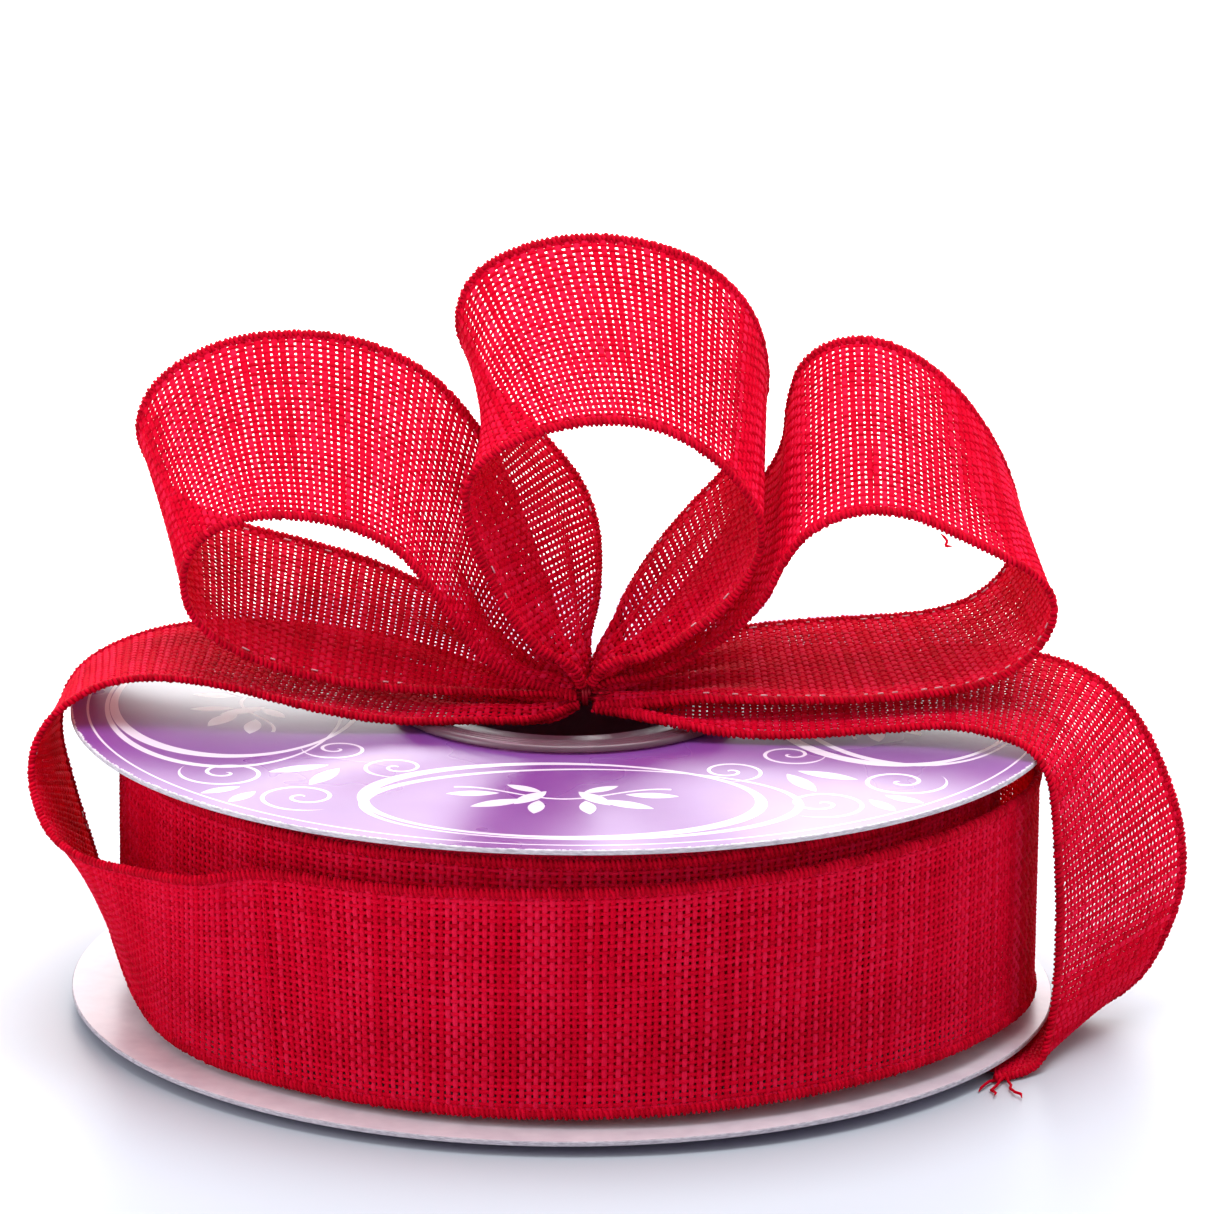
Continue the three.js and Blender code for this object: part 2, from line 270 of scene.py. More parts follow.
def makeYarn(name, dark, body, light, translucency, fibre):
    # polyester burlap yarn, spun, dyed and woven: soft sheen, light comes through it, each yarn a little off in tone
    material, tree, shader, output = newMaterial(name)
    tone = addNode(tree, "ShaderNodeAttribute", attribute_name="tone").outputs["Fac"]
    place = objectSpace(tree)
    fibres = addNode(tree, "ShaderNodeTexNoise", {"Vector": place, "Scale": fibre, "Detail": 3.0, "Roughness": 0.65})
    patches = noise(tree, place, 90.0, 2.0)
    mixed = addNode(tree, "ShaderNodeMath", {0: fibres.outputs["Fac"], 1: 0.55, 2: tone}, operation="MULTIPLY_ADD")
    both = addNode(tree, "ShaderNodeMath", {0: patches.outputs["Fac"], 1: 0.45, 2: mixed.outputs[0]},
                   operation="MULTIPLY_ADD")
    ramp = addNode(tree, "ShaderNodeValToRGB", {"Fac": rescaled(tree, both.outputs[0], 0.24, 1.5)})
    ramp.color_ramp.elements[0].color = hexColour(dark)
    ramp.color_ramp.elements[1].color = hexColour(light)
    middle = ramp.color_ramp.elements.new(0.5)
    middle.color = hexColour(body)
    bump = bumped(tree, fibres.outputs["Fac"], 0.5, 0.12 * mm)
    feed(tree, shader, {"Base Color": ramp.outputs["Color"], "Normal": bump.outputs["Normal"], "Roughness": 0.7,
        "IOR": 1.5, "Specular IOR Level": 0.05, "Sheen Weight": 0.03, "Sheen Roughness": 0.4,
        "Sheen Tint": hexColour("#ff3a66")})
    through = addNode(tree, "ShaderNodeBsdfTranslucent", {"Color": ramp.outputs["Color"],
                                                          "Normal": bump.outputs["Normal"]})
    blend = addNode(tree, "ShaderNodeMixShader", {"Fac": translucency, 1: shader.outputs[0], 2: through.outputs[0]})
    tree.links.new(blend.outputs[0], output.inputs["Surface"])
    return material


wovenYarn = makeYarn("polyesterBurlapYarn", ribbonDye["shade"], ribbonDye["body"], ribbonDye["lit"], 0.48, 2600.0)
overlockThread = makeYarn("overlockedPolyesterThread", "#a00016", ribbonDye["edge"], "#f0103f", 0.3, 3400.0)


def makeWovenFace():
    # the same ribbon wound tight: the plain weave shows as a fine grid, 1.15 mm by 1 mm, in the bump and the tone, and
    # the tone's dark end is painted shade in the gaps between the yarns
    material, tree, shader, output = newMaterial("woundPolyesterBurlap")
    place = objectSpace(tree)
    split = addNode(tree, "ShaderNodeSeparateXYZ", {"Vector": place})
    angle = addNode(tree, "ShaderNodeMath", {0: split.outputs["Y"],
        1: maths(tree, "SUBTRACT", split.outputs["X"], axisX)}, operation="ARCTAN2")
    wefts = addNode(tree, "ShaderNodeMath", {0: maths(tree, "MULTIPLY", angle.outputs[0], 388.0)}, operation="SINE")
    warps = addNode(tree, "ShaderNodeMath", {0: maths(tree, "MULTIPLY", split.outputs["Z"], 6283.0)},
        operation="SINE")
    grid = addNode(tree, "ShaderNodeMath", {0: wefts.outputs[0], 1: warps.outputs[0]}, operation="MAXIMUM")
    cloud = noise(tree, place, 700.0, 3.0)
    level = addNode(tree, "ShaderNodeMath", {0: cloud.outputs["Fac"], 1: 0.9, 2: grid.outputs[0]},
                    operation="MULTIPLY_ADD")
    ramp = addNode(tree, "ShaderNodeValToRGB", {"Fac": rescaled(tree, level.outputs[0], -0.6, 1.5)})
    # the dark end, #4d0009, is painted shade: it darkens the gaps between the yarns and the whole wound roll
    ramp.color_ramp.elements[0].color = hexColour("#4d0009")
    ramp.color_ramp.elements[1].color = hexColour(ribbonDye["body"])
    bump = bumped(tree, level.outputs[0], 0.8, 0.25 * mm)
    feed(tree, shader, {"Base Color": ramp.outputs["Color"], "Normal": bump.outputs["Normal"], "Roughness": 0.7,
        "Specular IOR Level": 0.08, "Sheen Weight": 0.04})
    return material


woundFace = makeWovenFace()


def makeMonofilament():
    # extruded clear nylon thread: a bright silvery glint on each dash
    material, tree, shader, output = newMaterial("extrudedNylonMonofilament")
    place = objectSpace(tree)
    glint = addNode(tree, "ShaderNodeTexNoise", {"Vector": place, "Scale": 600.0}).outputs["Fac"]
    ramp = addNode(tree, "ShaderNodeValToRGB", {"Fac": glint})
    ramp.color_ramp.elements[0].color, ramp.color_ramp.elements[1].color = hexColour("#c25a70"), hexColour("#eec3cd")
    feed(tree, shader, {"Base Color": ramp.outputs["Color"],
        "Roughness": between(tree, glint, 0.15, 0.4),
        "IOR": 1.53})
    return material


monofilament = makeMonofilament()
print("ribbon materials ready")


# Geometry trees
def makeWeaveTree():
    tree, given, output = newTree("wovenRibbon", [("Surface", "Object"), ("Length", "Float"), ("Width", "Float"),
        ("Cloth Share", "Float"), ("Warps", "Int"), ("Wefts", "Int"), ("Band Start", "Float"),
        ("Open Pitch", "Float"), ("Warp Thread", "Float"), ("Weft Thread", "Float"), ("Sides", "Int"),
        ("Flatness", "Float"), ("Crimp", "Float"), ("Wander", "Float"), ("Slub", "Float"), ("Seed", "Int"),
        ("Material", "Material")])
    cloth = addNode(tree, "ShaderNodeMath", {0: given["Width"], 1: given["Cloth Share"]}, operation="MULTIPLY")
    grid = addNode(tree, "GeometryNodeMeshGrid", {
        "Size X": given["Length"], "Size Y": cloth.outputs[0], "Vertices X": given["Wefts"],
        "Vertices Y": given["Warps"]})
    index = addNode(tree, "GeometryNodeInputIndex").outputs[0]
    weft = wholes(tree, "DIVIDE_FLOOR", index, given["Warps"])
    warp = wholes(tree, "MODULO", index, given["Warps"])
    crossing = wholes(tree, "ADD", weft, warp)
    odd = wholes(tree, "MODULO", crossing, 2)
    side = maths(tree, "MULTIPLY_ADD", odd, -2.0, 1.0)
    crimp = maths(tree, "MULTIPLY", side, given["Crimp"])
    # the last few warps lie closer together, as the firm band inside each wired edge
    flatPlace = addNode(tree, "GeometryNodeInputPosition").outputs[0]
    spotParts = addNode(tree, "ShaderNodeSeparateXYZ", {"Vector": flatPlace})
    halfCloth = maths(tree, "MULTIPLY", cloth.outputs[0], 0.5)
    outShare = maths(tree, "DIVIDE", maths(tree, "ABSOLUTE", spotParts.outputs["Y"]), halfCloth)
    body = maths(tree, "MULTIPLY", maths(tree, "MINIMUM", outShare, given["Band Start"]), given["Open Pitch"])
    restShare = addNode(tree, "ShaderNodeMapRange",
        {"Value": outShare, "From Min": given["Band Start"], "From Max": 1.0, "To Min": 0.0,
        "To Max": maths(tree, "MULTIPLY_ADD", maths(tree, "MULTIPLY", given["Band Start"], given["Open Pitch"]), -1.0,
        1.0)}).outputs[0]
    packed = maths(tree, "MULTIPLY", maths(tree, "ADD", body, restShare), halfCloth)
    signed = maths(tree, "MULTIPLY", packed, maths(tree, "SIGN", spotParts.outputs["Y"]))
    kept = addNode(tree, "GeometryNodeSetPosition",
        {"Geometry": grid.outputs["Mesh"], "Position": combined(tree, spotParts.outputs["X"], signed,
        0.0)}).outputs[0]
    for label, value in (("crimp", crimp), ("weft", weft), ("warp", warp)):
        kept = stored(tree, kept, label, value)

    # the crossings wander a little, in slow waves and from yarn to yarn
    position = addNode(tree, "GeometryNodeInputPosition").outputs[0]
    shifted = vectors(tree, "ADD", position, combined(tree, 0.0, 0.0, given["Seed"]))
    waves = noise(tree, shifted, 70.0, 2.0)
    centred = vectors(tree, "SUBTRACT", waves.outputs["Color"], (0.5, 0.5, 0.5))
    drift = scaled(tree, centred, given["Wander"])
    own = []
    for number, extra in ((weft, 1), (warp, 2)):
        seed = wholes(tree, "ADD", given["Seed"], extra)
        chance = chanceOf(tree, -0.13, 0.13, seed, number=number)
        own.append(maths(tree, "MULTIPLY", chance, given["Wander"]))
    step = combined(tree, own[0], own[1], 0.0)
    offset = vectors(tree, "MULTIPLY", vectors(tree, "ADD", drift, step), (1, 1, 0))
    loose = pushed(tree, kept, offset)

    # along the ribbon two neighbours differ by a whole row of warps, across it by one
    ends = addNode(tree, "GeometryNodeInputMeshEdgeVertices")
    apart = maths(tree, "ABSOLUTE", maths(tree, "SUBTRACT", ends.outputs["Vertex Index 1"],
        ends.outputs["Vertex Index 2"]))
    yarns = []
    for label, test, sign, thread, number, lengthwise in (
            ("warp", "LESS_THAN", 1.0, "Warp Thread", "warp", 0),
            ("weft", "GREATER_THAN", -1.0, "Weft Thread", "weft", 1)):
        chosen = addNode(tree, "FunctionNodeCompare", {0: apart, 1: 1.5}, data_type="FLOAT", operation=test).outputs[0]
        cut = addNode(tree, "GeometryNodeDeleteGeometry", {"Geometry": loose, "Selection": chosen},
                      domain="EDGE", mode="EDGE_FACE").outputs[0]
        line = addNode(tree, "GeometryNodeMeshToCurve", {"Mesh": cut}).outputs[0]
        which = named(tree, number, "FLOAT")
        parts = addNode(tree, "ShaderNodeSeparateXYZ", {"Vector": position})
        along = maths(tree, "MULTIPLY", parts.outputs[lengthwise], 130.0)
        apartness = maths(tree, "MULTIPLY", which, 7.31)
        spot = combined(tree, along, apartness, given["Seed"])
        swell = noise(tree, spot, 1.0, 2.0).outputs[0]
        slub = addNode(tree, "ShaderNodeMapRange", {
            "Value": swell, "From Min": 0.3, "From Max": 0.72, "To Min": 0.86, "To Max": given["Slub"]}).outputs[0]
        radius = maths(tree, "MULTIPLY", maths(tree, "MULTIPLY", given[thread], 0.5), slub)
        shade = chanceOf(tree, 0.0, 0.55, given["Seed"], number=which)
        brighter = maths(tree, "ADD", shade, 0.22 * lengthwise)
        toned = stored(tree, line, "tone", brighter)
        leant = stored(tree, toned, "lift", maths(tree, "MULTIPLY", named(tree, "crimp", "FLOAT"), sign))
        roundProfile = circle(tree, given["Sides"])
        yarns.append(addNode(tree, "GeometryNodeCurveToMesh", {
            "Curve": leant, "Profile Curve": roundProfile, "Scale": radius, "Fill Caps": True}).outputs[0])
    both = addNode(tree, "GeometryNodeJoinGeometry", {"Geometry": yarns}).outputs[0]

    # lays the flat weave on the ribbon's surface
    parts = addNode(tree, "ShaderNodeSeparateXYZ", {"Vector": position})
    u = maths(tree, "ADD", maths(tree, "DIVIDE", parts.outputs["X"], given["Length"]), 0.5)
    v = maths(tree, "ADD", maths(tree, "DIVIDE", parts.outputs["Y"], given["Width"]), 0.5)
    inside = [addNode(tree, "ShaderNodeClamp", {"Value": x, "Min": 0.0002, "Max": 0.9998}).outputs[0] for x in (u, v)]
    flat = combined(tree, inside[0], inside[1], 0.0)
    surface = addNode(tree, "GeometryNodeObjectInfo", {"Object": given["Surface"]}).outputs["Geometry"]
    flatMap = named(tree, "flat", "FLOAT_VECTOR")
    facing = named(tree, "facing", "FLOAT_VECTOR")
    found = [addNode(tree, "GeometryNodeSampleUVSurface", {
        "Mesh": surface, "Value": value, "UV Map": flatMap, "Sample UV": flat}, data_type="FLOAT_VECTOR").outputs[0]
        for value in (position, facing)]
    crimped = named(tree, "lift", "FLOAT")
    lift = maths(tree, "MULTIPLY_ADD", parts.outputs["Z"], given["Flatness"], crimped)
    raised = scaled(tree, found[1], lift)
    place = vectors(tree, "ADD", found[0], raised)
    laid = addNode(tree, "GeometryNodeSetPosition", {"Geometry": both, "Position": place}).outputs[0]
    closeTree(tree, laid, given["Material"], output)
    return tree


def makeOverlockTree():
    # thread wrapped round the wire along a ribbon's edge
    tree, given, output = newTree("overlockedEdge", [
        ("Stitch", "Float"), ("Width", "Float"), ("Height", "Float"), ("Thread", "Float"), ("Core", "Float"),
        ("Seed", "Int"), ("Material", "Material")])
    line = addNode(tree, "GeometryNodeMeshToCurve", {"Mesh": given["Geometry"]}).outputs[0]
    step = maths(tree, "DIVIDE", given["Stitch"], 8.0)
    fine = addNode(tree, "GeometryNodeResampleCurve", {"Curve": line, "Length": step}, mode="LENGTH").outputs[0]
    run = addNode(tree, "GeometryNodeSplineParameter").outputs["Length"]
    turns = maths(tree, "DIVIDE", run, given["Stitch"])
    uneven = addNode(tree, "ShaderNodeTexNoise", {"W": turns, "Scale": 0.7, "Detail": 2.0},
                     noise_dimensions="1D").outputs[0]
    turned = maths(tree, "MULTIPLY", maths(tree, "MULTIPLY_ADD", uneven, 0.9, turns), 2 * math.pi)
    reach = addNode(tree, "ShaderNodeMapRange", {"Value": uneven, "From Min": 0.3, "From Max": 0.7,
                                                 "To Min": 0.85, "To Max": 1.12}).outputs[0]
    moved = []
    for operation, label, size in (("COSINE", "across", "Width"), ("SINE", "facing", "Height")):
        wave = maths(tree, operation, turned)
        half = maths(tree, "MULTIPLY", maths(tree, "MULTIPLY", given[size], 0.5), reach)
        way = named(tree, label, "FLOAT_VECTOR")
        amount = maths(tree, "MULTIPLY", wave, half)
        moved.append(scaled(tree, way, amount))
    offset = vectors(tree, "ADD", moved[0], moved[1])
    stitch = chanceOf(tree, 0.0, 0.6, given["Seed"], number=maths(tree, "FLOOR", turns))
    toned = stored(tree, fine, "tone", stitch)
    helix = pushed(tree, toned, offset)
    thread = addNode(tree, "GeometryNodeCurveToMesh",
        {"Curve": helix, "Profile Curve": circle(tree, 5), "Scale": maths(tree, "MULTIPLY", given["Thread"], 0.5),
        "Fill Caps": True}).outputs[0]
    coarse = addNode(tree, "GeometryNodeResampleCurve", {"Curve": line, "Length": 1.6 * mm}, mode="LENGTH").outputs[0]
    core = addNode(tree, "GeometryNodeCurveToMesh",
        {"Curve": coarse, "Profile Curve": circle(tree, 8), "Scale": maths(tree, "MULTIPLY", given["Core"], 0.5),
        "Fill Caps": True}).outputs[0]
    both = addNode(tree, "GeometryNodeJoinGeometry", {"Geometry": [thread, core]}).outputs[0]
    closeTree(tree, both, given["Material"], output)
    return tree


def makeRollTree():
    # one long strip wound in a spiral, with a bead of overlocking along both edges
    tree, given, output = newTree("woundRoll", [
        ("Turns", "Float"), ("Inner Radius", "Float"), ("Outer Radius", "Float"), ("Width", "Float"),
        ("Thickness", "Float"), ("Bead", "Float"), ("Unevenness", "Float"), ("Centre", "Vector"),
        ("Material", "Material")])
    spiral = addNode(tree, "GeometryNodeCurveSpiral", {
        "Resolution": 72, "Rotations": given["Turns"], "Start Radius": given["Inner Radius"],
        "End Radius": given["Outer Radius"], "Height": 0.0}).outputs[0]
    run = addNode(tree, "GeometryNodeSplineParameter").outputs["Factor"]
    wave = addNode(tree, "ShaderNodeTexNoise", {"W": maths(tree, "MULTIPLY", run, 90.0), "Scale": 1.0, "Detail": 1.0},
        noise_dimensions="1D").outputs[0]
    rise = maths(tree, "MULTIPLY", maths(tree, "ADD", wave, -0.5), given["Unevenness"])
    offset = vectors(tree, "ADD", given["Centre"], combined(tree, 0.0, 0.0, rise))
    placed = pushed(tree, spiral, offset)
    upright = addNode(tree, "GeometryNodeSetCurveNormal", {"Curve": placed}, mode="Z_UP").outputs[0]
    band = addNode(tree, "GeometryNodeCurveToMesh", {
        "Curve": upright, "Profile Curve": addNode(
            tree, "GeometryNodeCurvePrimitiveQuadrilateral", {"Width": given["Thickness"], "Height": given["Width"]},
            mode="RECTANGLE").outputs[0], "Scale": 1.0, "Fill Caps": True}).outputs[0]
    parts = [band]
    for sign in (0.5, -0.5):
        up = combined(tree, 0.0, 0.0, maths(tree, "MULTIPLY", given["Width"], sign))
        edge = pushed(tree, upright, up)
        parts.append(addNode(tree, "GeometryNodeCurveToMesh",
            {"Curve": edge, "Profile Curve": circle(tree, 5), "Scale": given["Bead"], "Fill Caps": True}).outputs[0])
    whole = addNode(tree, "GeometryNodeJoinGeometry", {"Geometry": parts}).outputs[0]
    closeTree(tree, whole, given["Material"], output)
    return tree


def makeSecuringTree():
    # short dashes of clear monofilament that tack the wire's casing to the cloth
    tree, given, output = newTree("securingStitch", [
        ("Pitch", "Float"), ("Dash", "Float"), ("Thickness", "Float"), ("Lift", "Float"), ("Shown", "Float"),
        ("Seed", "Int"), ("Material", "Material")])
    line = addNode(tree, "GeometryNodeMeshToCurve", {"Mesh": given["Geometry"]}).outputs[0]
    way = named(tree, "facing", "FLOAT_VECTOR")
    lift = scaled(tree, way, given["Lift"])
    raised = pushed(tree, line, lift)
    spots = addNode(tree, "GeometryNodeCurveToPoints", {"Curve": raised, "Length": given["Pitch"]}, mode="LENGTH")
    dash = addNode(tree, "GeometryNodeMeshCylinder",
        {"Vertices": 6, "Radius": maths(tree, "MULTIPLY", given["Thickness"], 0.5),
        "Depth": given["Dash"]}).outputs[0]
    size = chanceOf(tree, 0.35, 1.1, given["Seed"])
    luck = chanceOf(tree, 0.0, 1.0, wholes(tree, "ADD", given["Seed"], 5))
    shown = addNode(tree, "FunctionNodeCompare", {0: luck, 1: given["Shown"]}, data_type="FLOAT",
                    operation="LESS_THAN").outputs[0]
    placed = addNode(tree, "GeometryNodeInstanceOnPoints",
        {"Points": spots.outputs["Points"], "Selection": shown, "Instance": dash,
        "Rotation": spots.outputs["Rotation"], "Scale": combined(tree, 1.0, 1.0, size)}).outputs[0]
    closeTree(tree, placed, given["Material"], output)
    return tree


weaveTree, overlockTree, rollTree = makeWeaveTree(), makeOverlockTree(), makeRollTree()
securingTree = makeSecuringTree()
print("geometry trees ready")


# The ribbon's free stretches, in millimetres from the spool's axis. A rung is the near edge's point, then the far
# edge's, and the ribbon is narrower where it is pinched into the bow.
ribbon = {
    "width": 38, "bandWarps": 3, "bandStart": 0.87, "openPitch": 1.1, "warpPitch": 1.0, "weftPitch": 1.15,
    "warpThread": 0.59, "weftThread": 0.78, "flatness": 0.45, "crimp": 0.17, "wander": 0.5, "slub": 1.3,
    "edgeInset": 1.05, "edgeWidth": 1.5, "edgeHeight": 0.85, "edgeStitch": 0.8, "edgeThread": 0.6, "edgeCore": 1.1,
    "dashPitch": 2.3, "dash": 1.2, "dashThread": 0.26, "dashLift": -0.4, "dashFree": 20,
    "pleats": 3.5, "pleatDepth": 1.7, "pleatReach": 34,
}


def wrapRung(degrees, radius, upperLean, zUpper, zLower):
    c, s = math.cos(math.radians(degrees)), math.sin(math.radians(degrees))
    outer = radius + upperLean
    return (outer * c, outer * s, zUpper, radius * c, radius * s, zLower)


stretches = {
    "front_turn": [
        wrapRung(392, 71.1, 0, 45.4, 7.6), wrapRung(370, 71.1, 0, 45.5, 7.6), wrapRung(340, 71.1, 0, 45.3, 7.6),
        wrapRung(310, 71.1, 0, 45.6, 7.7), wrapRung(280, 71.1, 0, 45.4, 7.6), wrapRung(250, 71.2, 0, 45.5, 7.7),
        wrapRung(228, 71.3, 0, 45.4, 7.6),
    ],
    "back_turn": [
        wrapRung(228, 71.3, 0, 45.4, 7.6), wrapRung(205, 71.5, 0, 45.3, 7.5), wrapRung(180, 71.7, 0.1, 45.1, 7.2),
        wrapRung(150, 71.9, 0.2, 44.6, 6.7), wrapRung(120, 72.1, 0.3, 44, 6), wrapRung(90, 72.3, 0.3, 43.3, 5.2),
        wrapRung(64, 72.6, 0.2, 42.5, 4.4), wrapRung(44, 73, 0, 41.9, 3.9), wrapRung(26, 73.5, 0, 41.6, 3.6),
    ],
    "outer_wrap": [
        wrapRung(26, 73.5, 0, 41.6, 3.6), wrapRung(8, 76, 0, 42.2, 4.2), wrapRung(-10, 77.2, 0, 43, 5),
        wrapRung(-26, 77.2, 0, 43.8, 5.8), wrapRung(-42, 76.2, 0.3, 43.8, 5.6), wrapRung(-60, 75.2, 0.6, 43.2, 5),
        wrapRung(-78, 74.4, 0.8, 42.4, 4.3), wrapRung(-96, 73.6, 1.4, 41.8, 3.8), wrapRung(-112, 73, 2.4, 41, 3.6),
        wrapRung(-127.5, 72.6, 3.6, 40.2, 3.5),
    ],
    "lead": [
        wrapRung(-127.5, 72.6, 3.6, 40.2, 3.5), (-57, -58, 38, -57.5, -44.5, 3.6), (-67, -49, 36.5, -66, -29, 5),
        (-76, -39.5, 35.5, -71.8, -11.5, 11), (-82, -30.5, 37, -76, 3, 21), (-85, -22.5, 42, -80.5, 12, 31.5),
        (-84.5, -19, 47.8, -83, 16, 41), (-80.5, -17.5, 53, -81, 18, 48.2), (-73.5, -16.5, 56.8, -75.5, 20, 52.8),
        (-65, -16.5, 57.9, -65, 21, 56.4), (-54, -17.5, 56.8, -51, 19.5, 58), (-40, -18.5, 53.6, -34, 16.5, 57.4),
        (-27, -17.5, 51.4, -20, 12, 55.5), (-14, -16.5, 52.1, -10, 7, 54), (-4, -11.4, 52.1, -3, 3, 53),
        (2.2, -6.2, 54, 2.6, 0.4, 54.6),
    ],
    "left_loop": [
        (1.6, -6.4, 55, 1.9, 0.2, 55.6), (-3, -8, 54.9, -2, 1, 56.7), (-12, -11, 54.9, -9, 5, 60.5),
        (-22, -13.5, 55.2, -19.5, 11, 65),
        (-33, -15.5, 56.6, -31, 16, 69.3), (-44, -16.5, 59, -43, 18.5, 72.3), (-52.5, -17, 62.3, -54, 19, 75),
        (-58.8, -17, 67.2, -63, 18.5, 79.2), (-60.8, -17, 73, -68.3, 16.8, 86), (-59.5, -17, 78.5, -70, 15, 93),
        (-55.5, -17, 82.3, -66.3, 14, 100.6), (-49, -17, 84.3, -57, 13.5, 106.5), (-41, -17, 84.2, -45, 13.5, 108.6),
        (-33, -17, 82.2, -33.5, 13.5, 107.2), (-26.5, -16.5, 78.5, -23.5, 13.5, 102.5),
        (-21.5, -16, 72.3, -15.6, 13, 94.6), (-17, -15.2, 66, -9.8, 11.5, 84.6), (-12.5, -13.5, 61, -5, 8, 72.5),
        (-7, -10.5, 58.5, -1.8, 4, 64.2), (-2.5, -8, 57.8, -1, 1, 60),
        (1.8, -6.2, 56.6, 2, 0, 57),
    ],
    "middle_loop": [
        (2.4, -6.4, 57.4, 3.4, 0, 57.8), (0, -9, 60.8, 3, 0, 62.3), (-5, -12, 63.3, 5, 6, 67),
        (-9.5, -14, 68.5, 5.6, 12, 71.5),
        (-13, -14.5, 75, 4.9, 17, 76.5), (-15.5, -14.5, 81, 2, 19.5, 83), (-16.5, -14.5, 87, -4, 20.5, 90),
        (-15, -14.5, 91.8, -11.5, 21, 97), (-11, -14.5, 95.2, -17, 20, 104.5), (-6.5, -14.5, 97.4, -18.3, 18, 111.5),
        (-1.5, -14.5, 98.9, -15, 16.5, 118.5), (4, -14.5, 99.8, -6.5, 15.5, 123.2), (10, -14.5, 99.8, 4, 15, 124.8),
        (16, -14.5, 98.4, 14, 15.2, 123.4), (22, -14.5, 95, 23, 16, 119.2), (27, -14.5, 90.5, 29.3, 17.5, 112),
        (30.5, -14.5, 85, 31.9, 19, 103), (31, -14.5, 79.7, 31, 20, 94), (29, -14.5, 74.8, 26.5, 20, 86),
        (25, -14.5, 69.5, 20, 18.5, 79), (19.5, -14, 65, 14, 15, 73), (13.5, -12.5, 62, 9.4, 10, 67.5),
        (8.5, -9.5, 60.8, 7.4, 3, 63.5), (4.6, -6.6, 57.4, 4.4, 0.6, 57.8),
    ],
    "right_loop": [
        (5, -6.2, 56.6, 5, 0, 57), (9.5, -7.5, 57.6, 9.7, 2.5, 59.8), (14.5, -10, 58.8, 15.5, 8, 64.8),
        (20.5, -12, 61.3, 22, 13, 71.5),
        (26.5, -13, 65.3, 29, 16, 80), (31.5, -14, 71, 34.8, 16.5, 89.5), (34.5, -15, 77, 36, 16.5, 98),
        (38, -15.5, 81.8, 38, 16, 104), (43.5, -16, 85.2, 42.8, 15.5, 107.6), (49.5, -16, 86.2, 49, 15.2, 108.2),
        (56, -16, 85.2, 55.4, 15.2, 105.8), (63, -16, 82.2, 61.6, 15.5, 101), (69.5, -16, 79.2, 66.8, 16, 94.5),
        (74.5, -16, 76.5, 70.6, 17, 87.5), (77.5, -16, 73.2, 73, 18.2, 80), (78, -16, 69.3, 73.4, 19.4, 73),
        (76, -16, 64.8, 70.8, 20, 67.3), (72, -16, 60.9, 66, 20, 63.3), (66, -16.3, 58.1, 59.5, 20, 61),
        (57, -16.5, 56.5, 51.5, 20, 60), (46, -16.5, 55.5, 42, 19.5, 59.5), (34, -16, 55.2, 32, 18, 58.8),
        (23, -14, 55.1, 22.5, 14, 58), (14.5, -11, 54.9, 15, 8, 57), (9.5, -8, 54.8, 10, 2.5, 56.4),
        (5.2, -6.4, 55, 5, 0.2, 55.6),
    ],
    "tail": [
        (4.6, -6.2, 54, 4.4, 0.4, 54.6), (9.5, -8.4, 52.1, 10, 2, 53.4), (16, -16.2, 52.1, 17, 8, 54),
        (26, -21, 51, 26, 13.5, 55), (38, -21.5, 51, 38, 16.6, 55.4), (50, -21.2, 51.9, 50, 16.4, 56),
        (61, -22, 52.9, 62, 14.5, 56.8),
        (69, -25.5, 52.4, 73, 11.5, 57), (74, -28.5, 50.9, 82, 8, 55.8), (76.8, -30, 46.8, 89, 5.5, 52.5),
        (77.8, -31, 40, 94.4, 3.5, 46.5), (78.3, -31.3, 32, 98.6, 2, 38), (78.6, -31.5, 24.5, 101, 0, 29.5),
        (78.6, -31.8, 17.5, 101, -2.5, 21.5), (78.3, -32.5, 11, 98.2, -5, 13.5), (77.5, -34, 5.5, 94, -6.5, 7),
        (76.3, -36.5, 2.2, 88, -6.5, 2.6), (73.5, -39.5, 0.95, 80.5, -7, 0.95), (69, -42.5, 0.95, 70, -8, 0.95),
    ],
}

# which ends of a stretch run into the pinched middle of the bow, and what it lies on
layout = {
    "front_turn": {"pinched": (), "held": "stretched", "restsOn": ["wound_ribbon"], "sides": 5, "seed": 11,
                   "fullness": 1.0, "dashes": 0.2, "runsInto": "back_turn"},
    "back_turn": {"pinched": (), "held": "stretched", "restsOn": ["wound_ribbon"], "sides": 5, "seed": 11,
                  "fullness": 1.0, "dashes": 0.2, "follows": "front_turn", "runsInto": "outer_wrap"},
    "outer_wrap": {"pinched": (), "held": "stretched", "restsOn": ["wound_ribbon"], "sides": 6, "seed": 11,
                   "fullness": 1.0, "dashes": 0.1, "follows": "back_turn", "runsInto": "lead"},
    "lead": {"pinched": (1,), "held": "draped", "restsOn": ["top_flange"], "sides": 6, "seed": 11,
             "fullness": 1.08, "dashes": 0.25, "follows": "outer_wrap"},
    "left_loop": {"pinched": (0, 1), "held": "gathered", "restsOn": ["bow_gather"], "sides": 6, "seed": 37,
                  "fullness": 1.1, "dashes": 0.2},
    "middle_loop": {"pinched": (0, 1), "held": "gathered", "restsOn": ["bow_gather"], "sides": 6, "seed": 41,
                    "fullness": 1.08, "dashes": 0.25},
    "right_loop": {"pinched": (0, 1), "held": "gathered", "restsOn": ["bow_gather"], "sides": 6, "seed": 59,
                   "fullness": 1.11, "dashes": 0.8},
    "tail": {"pinched": (0,), "held": "draped", "restsOn": ["top_flange"], "sides": 6, "seed": 67,
             "fullness": 1.08, "dashes": 0.25},
}


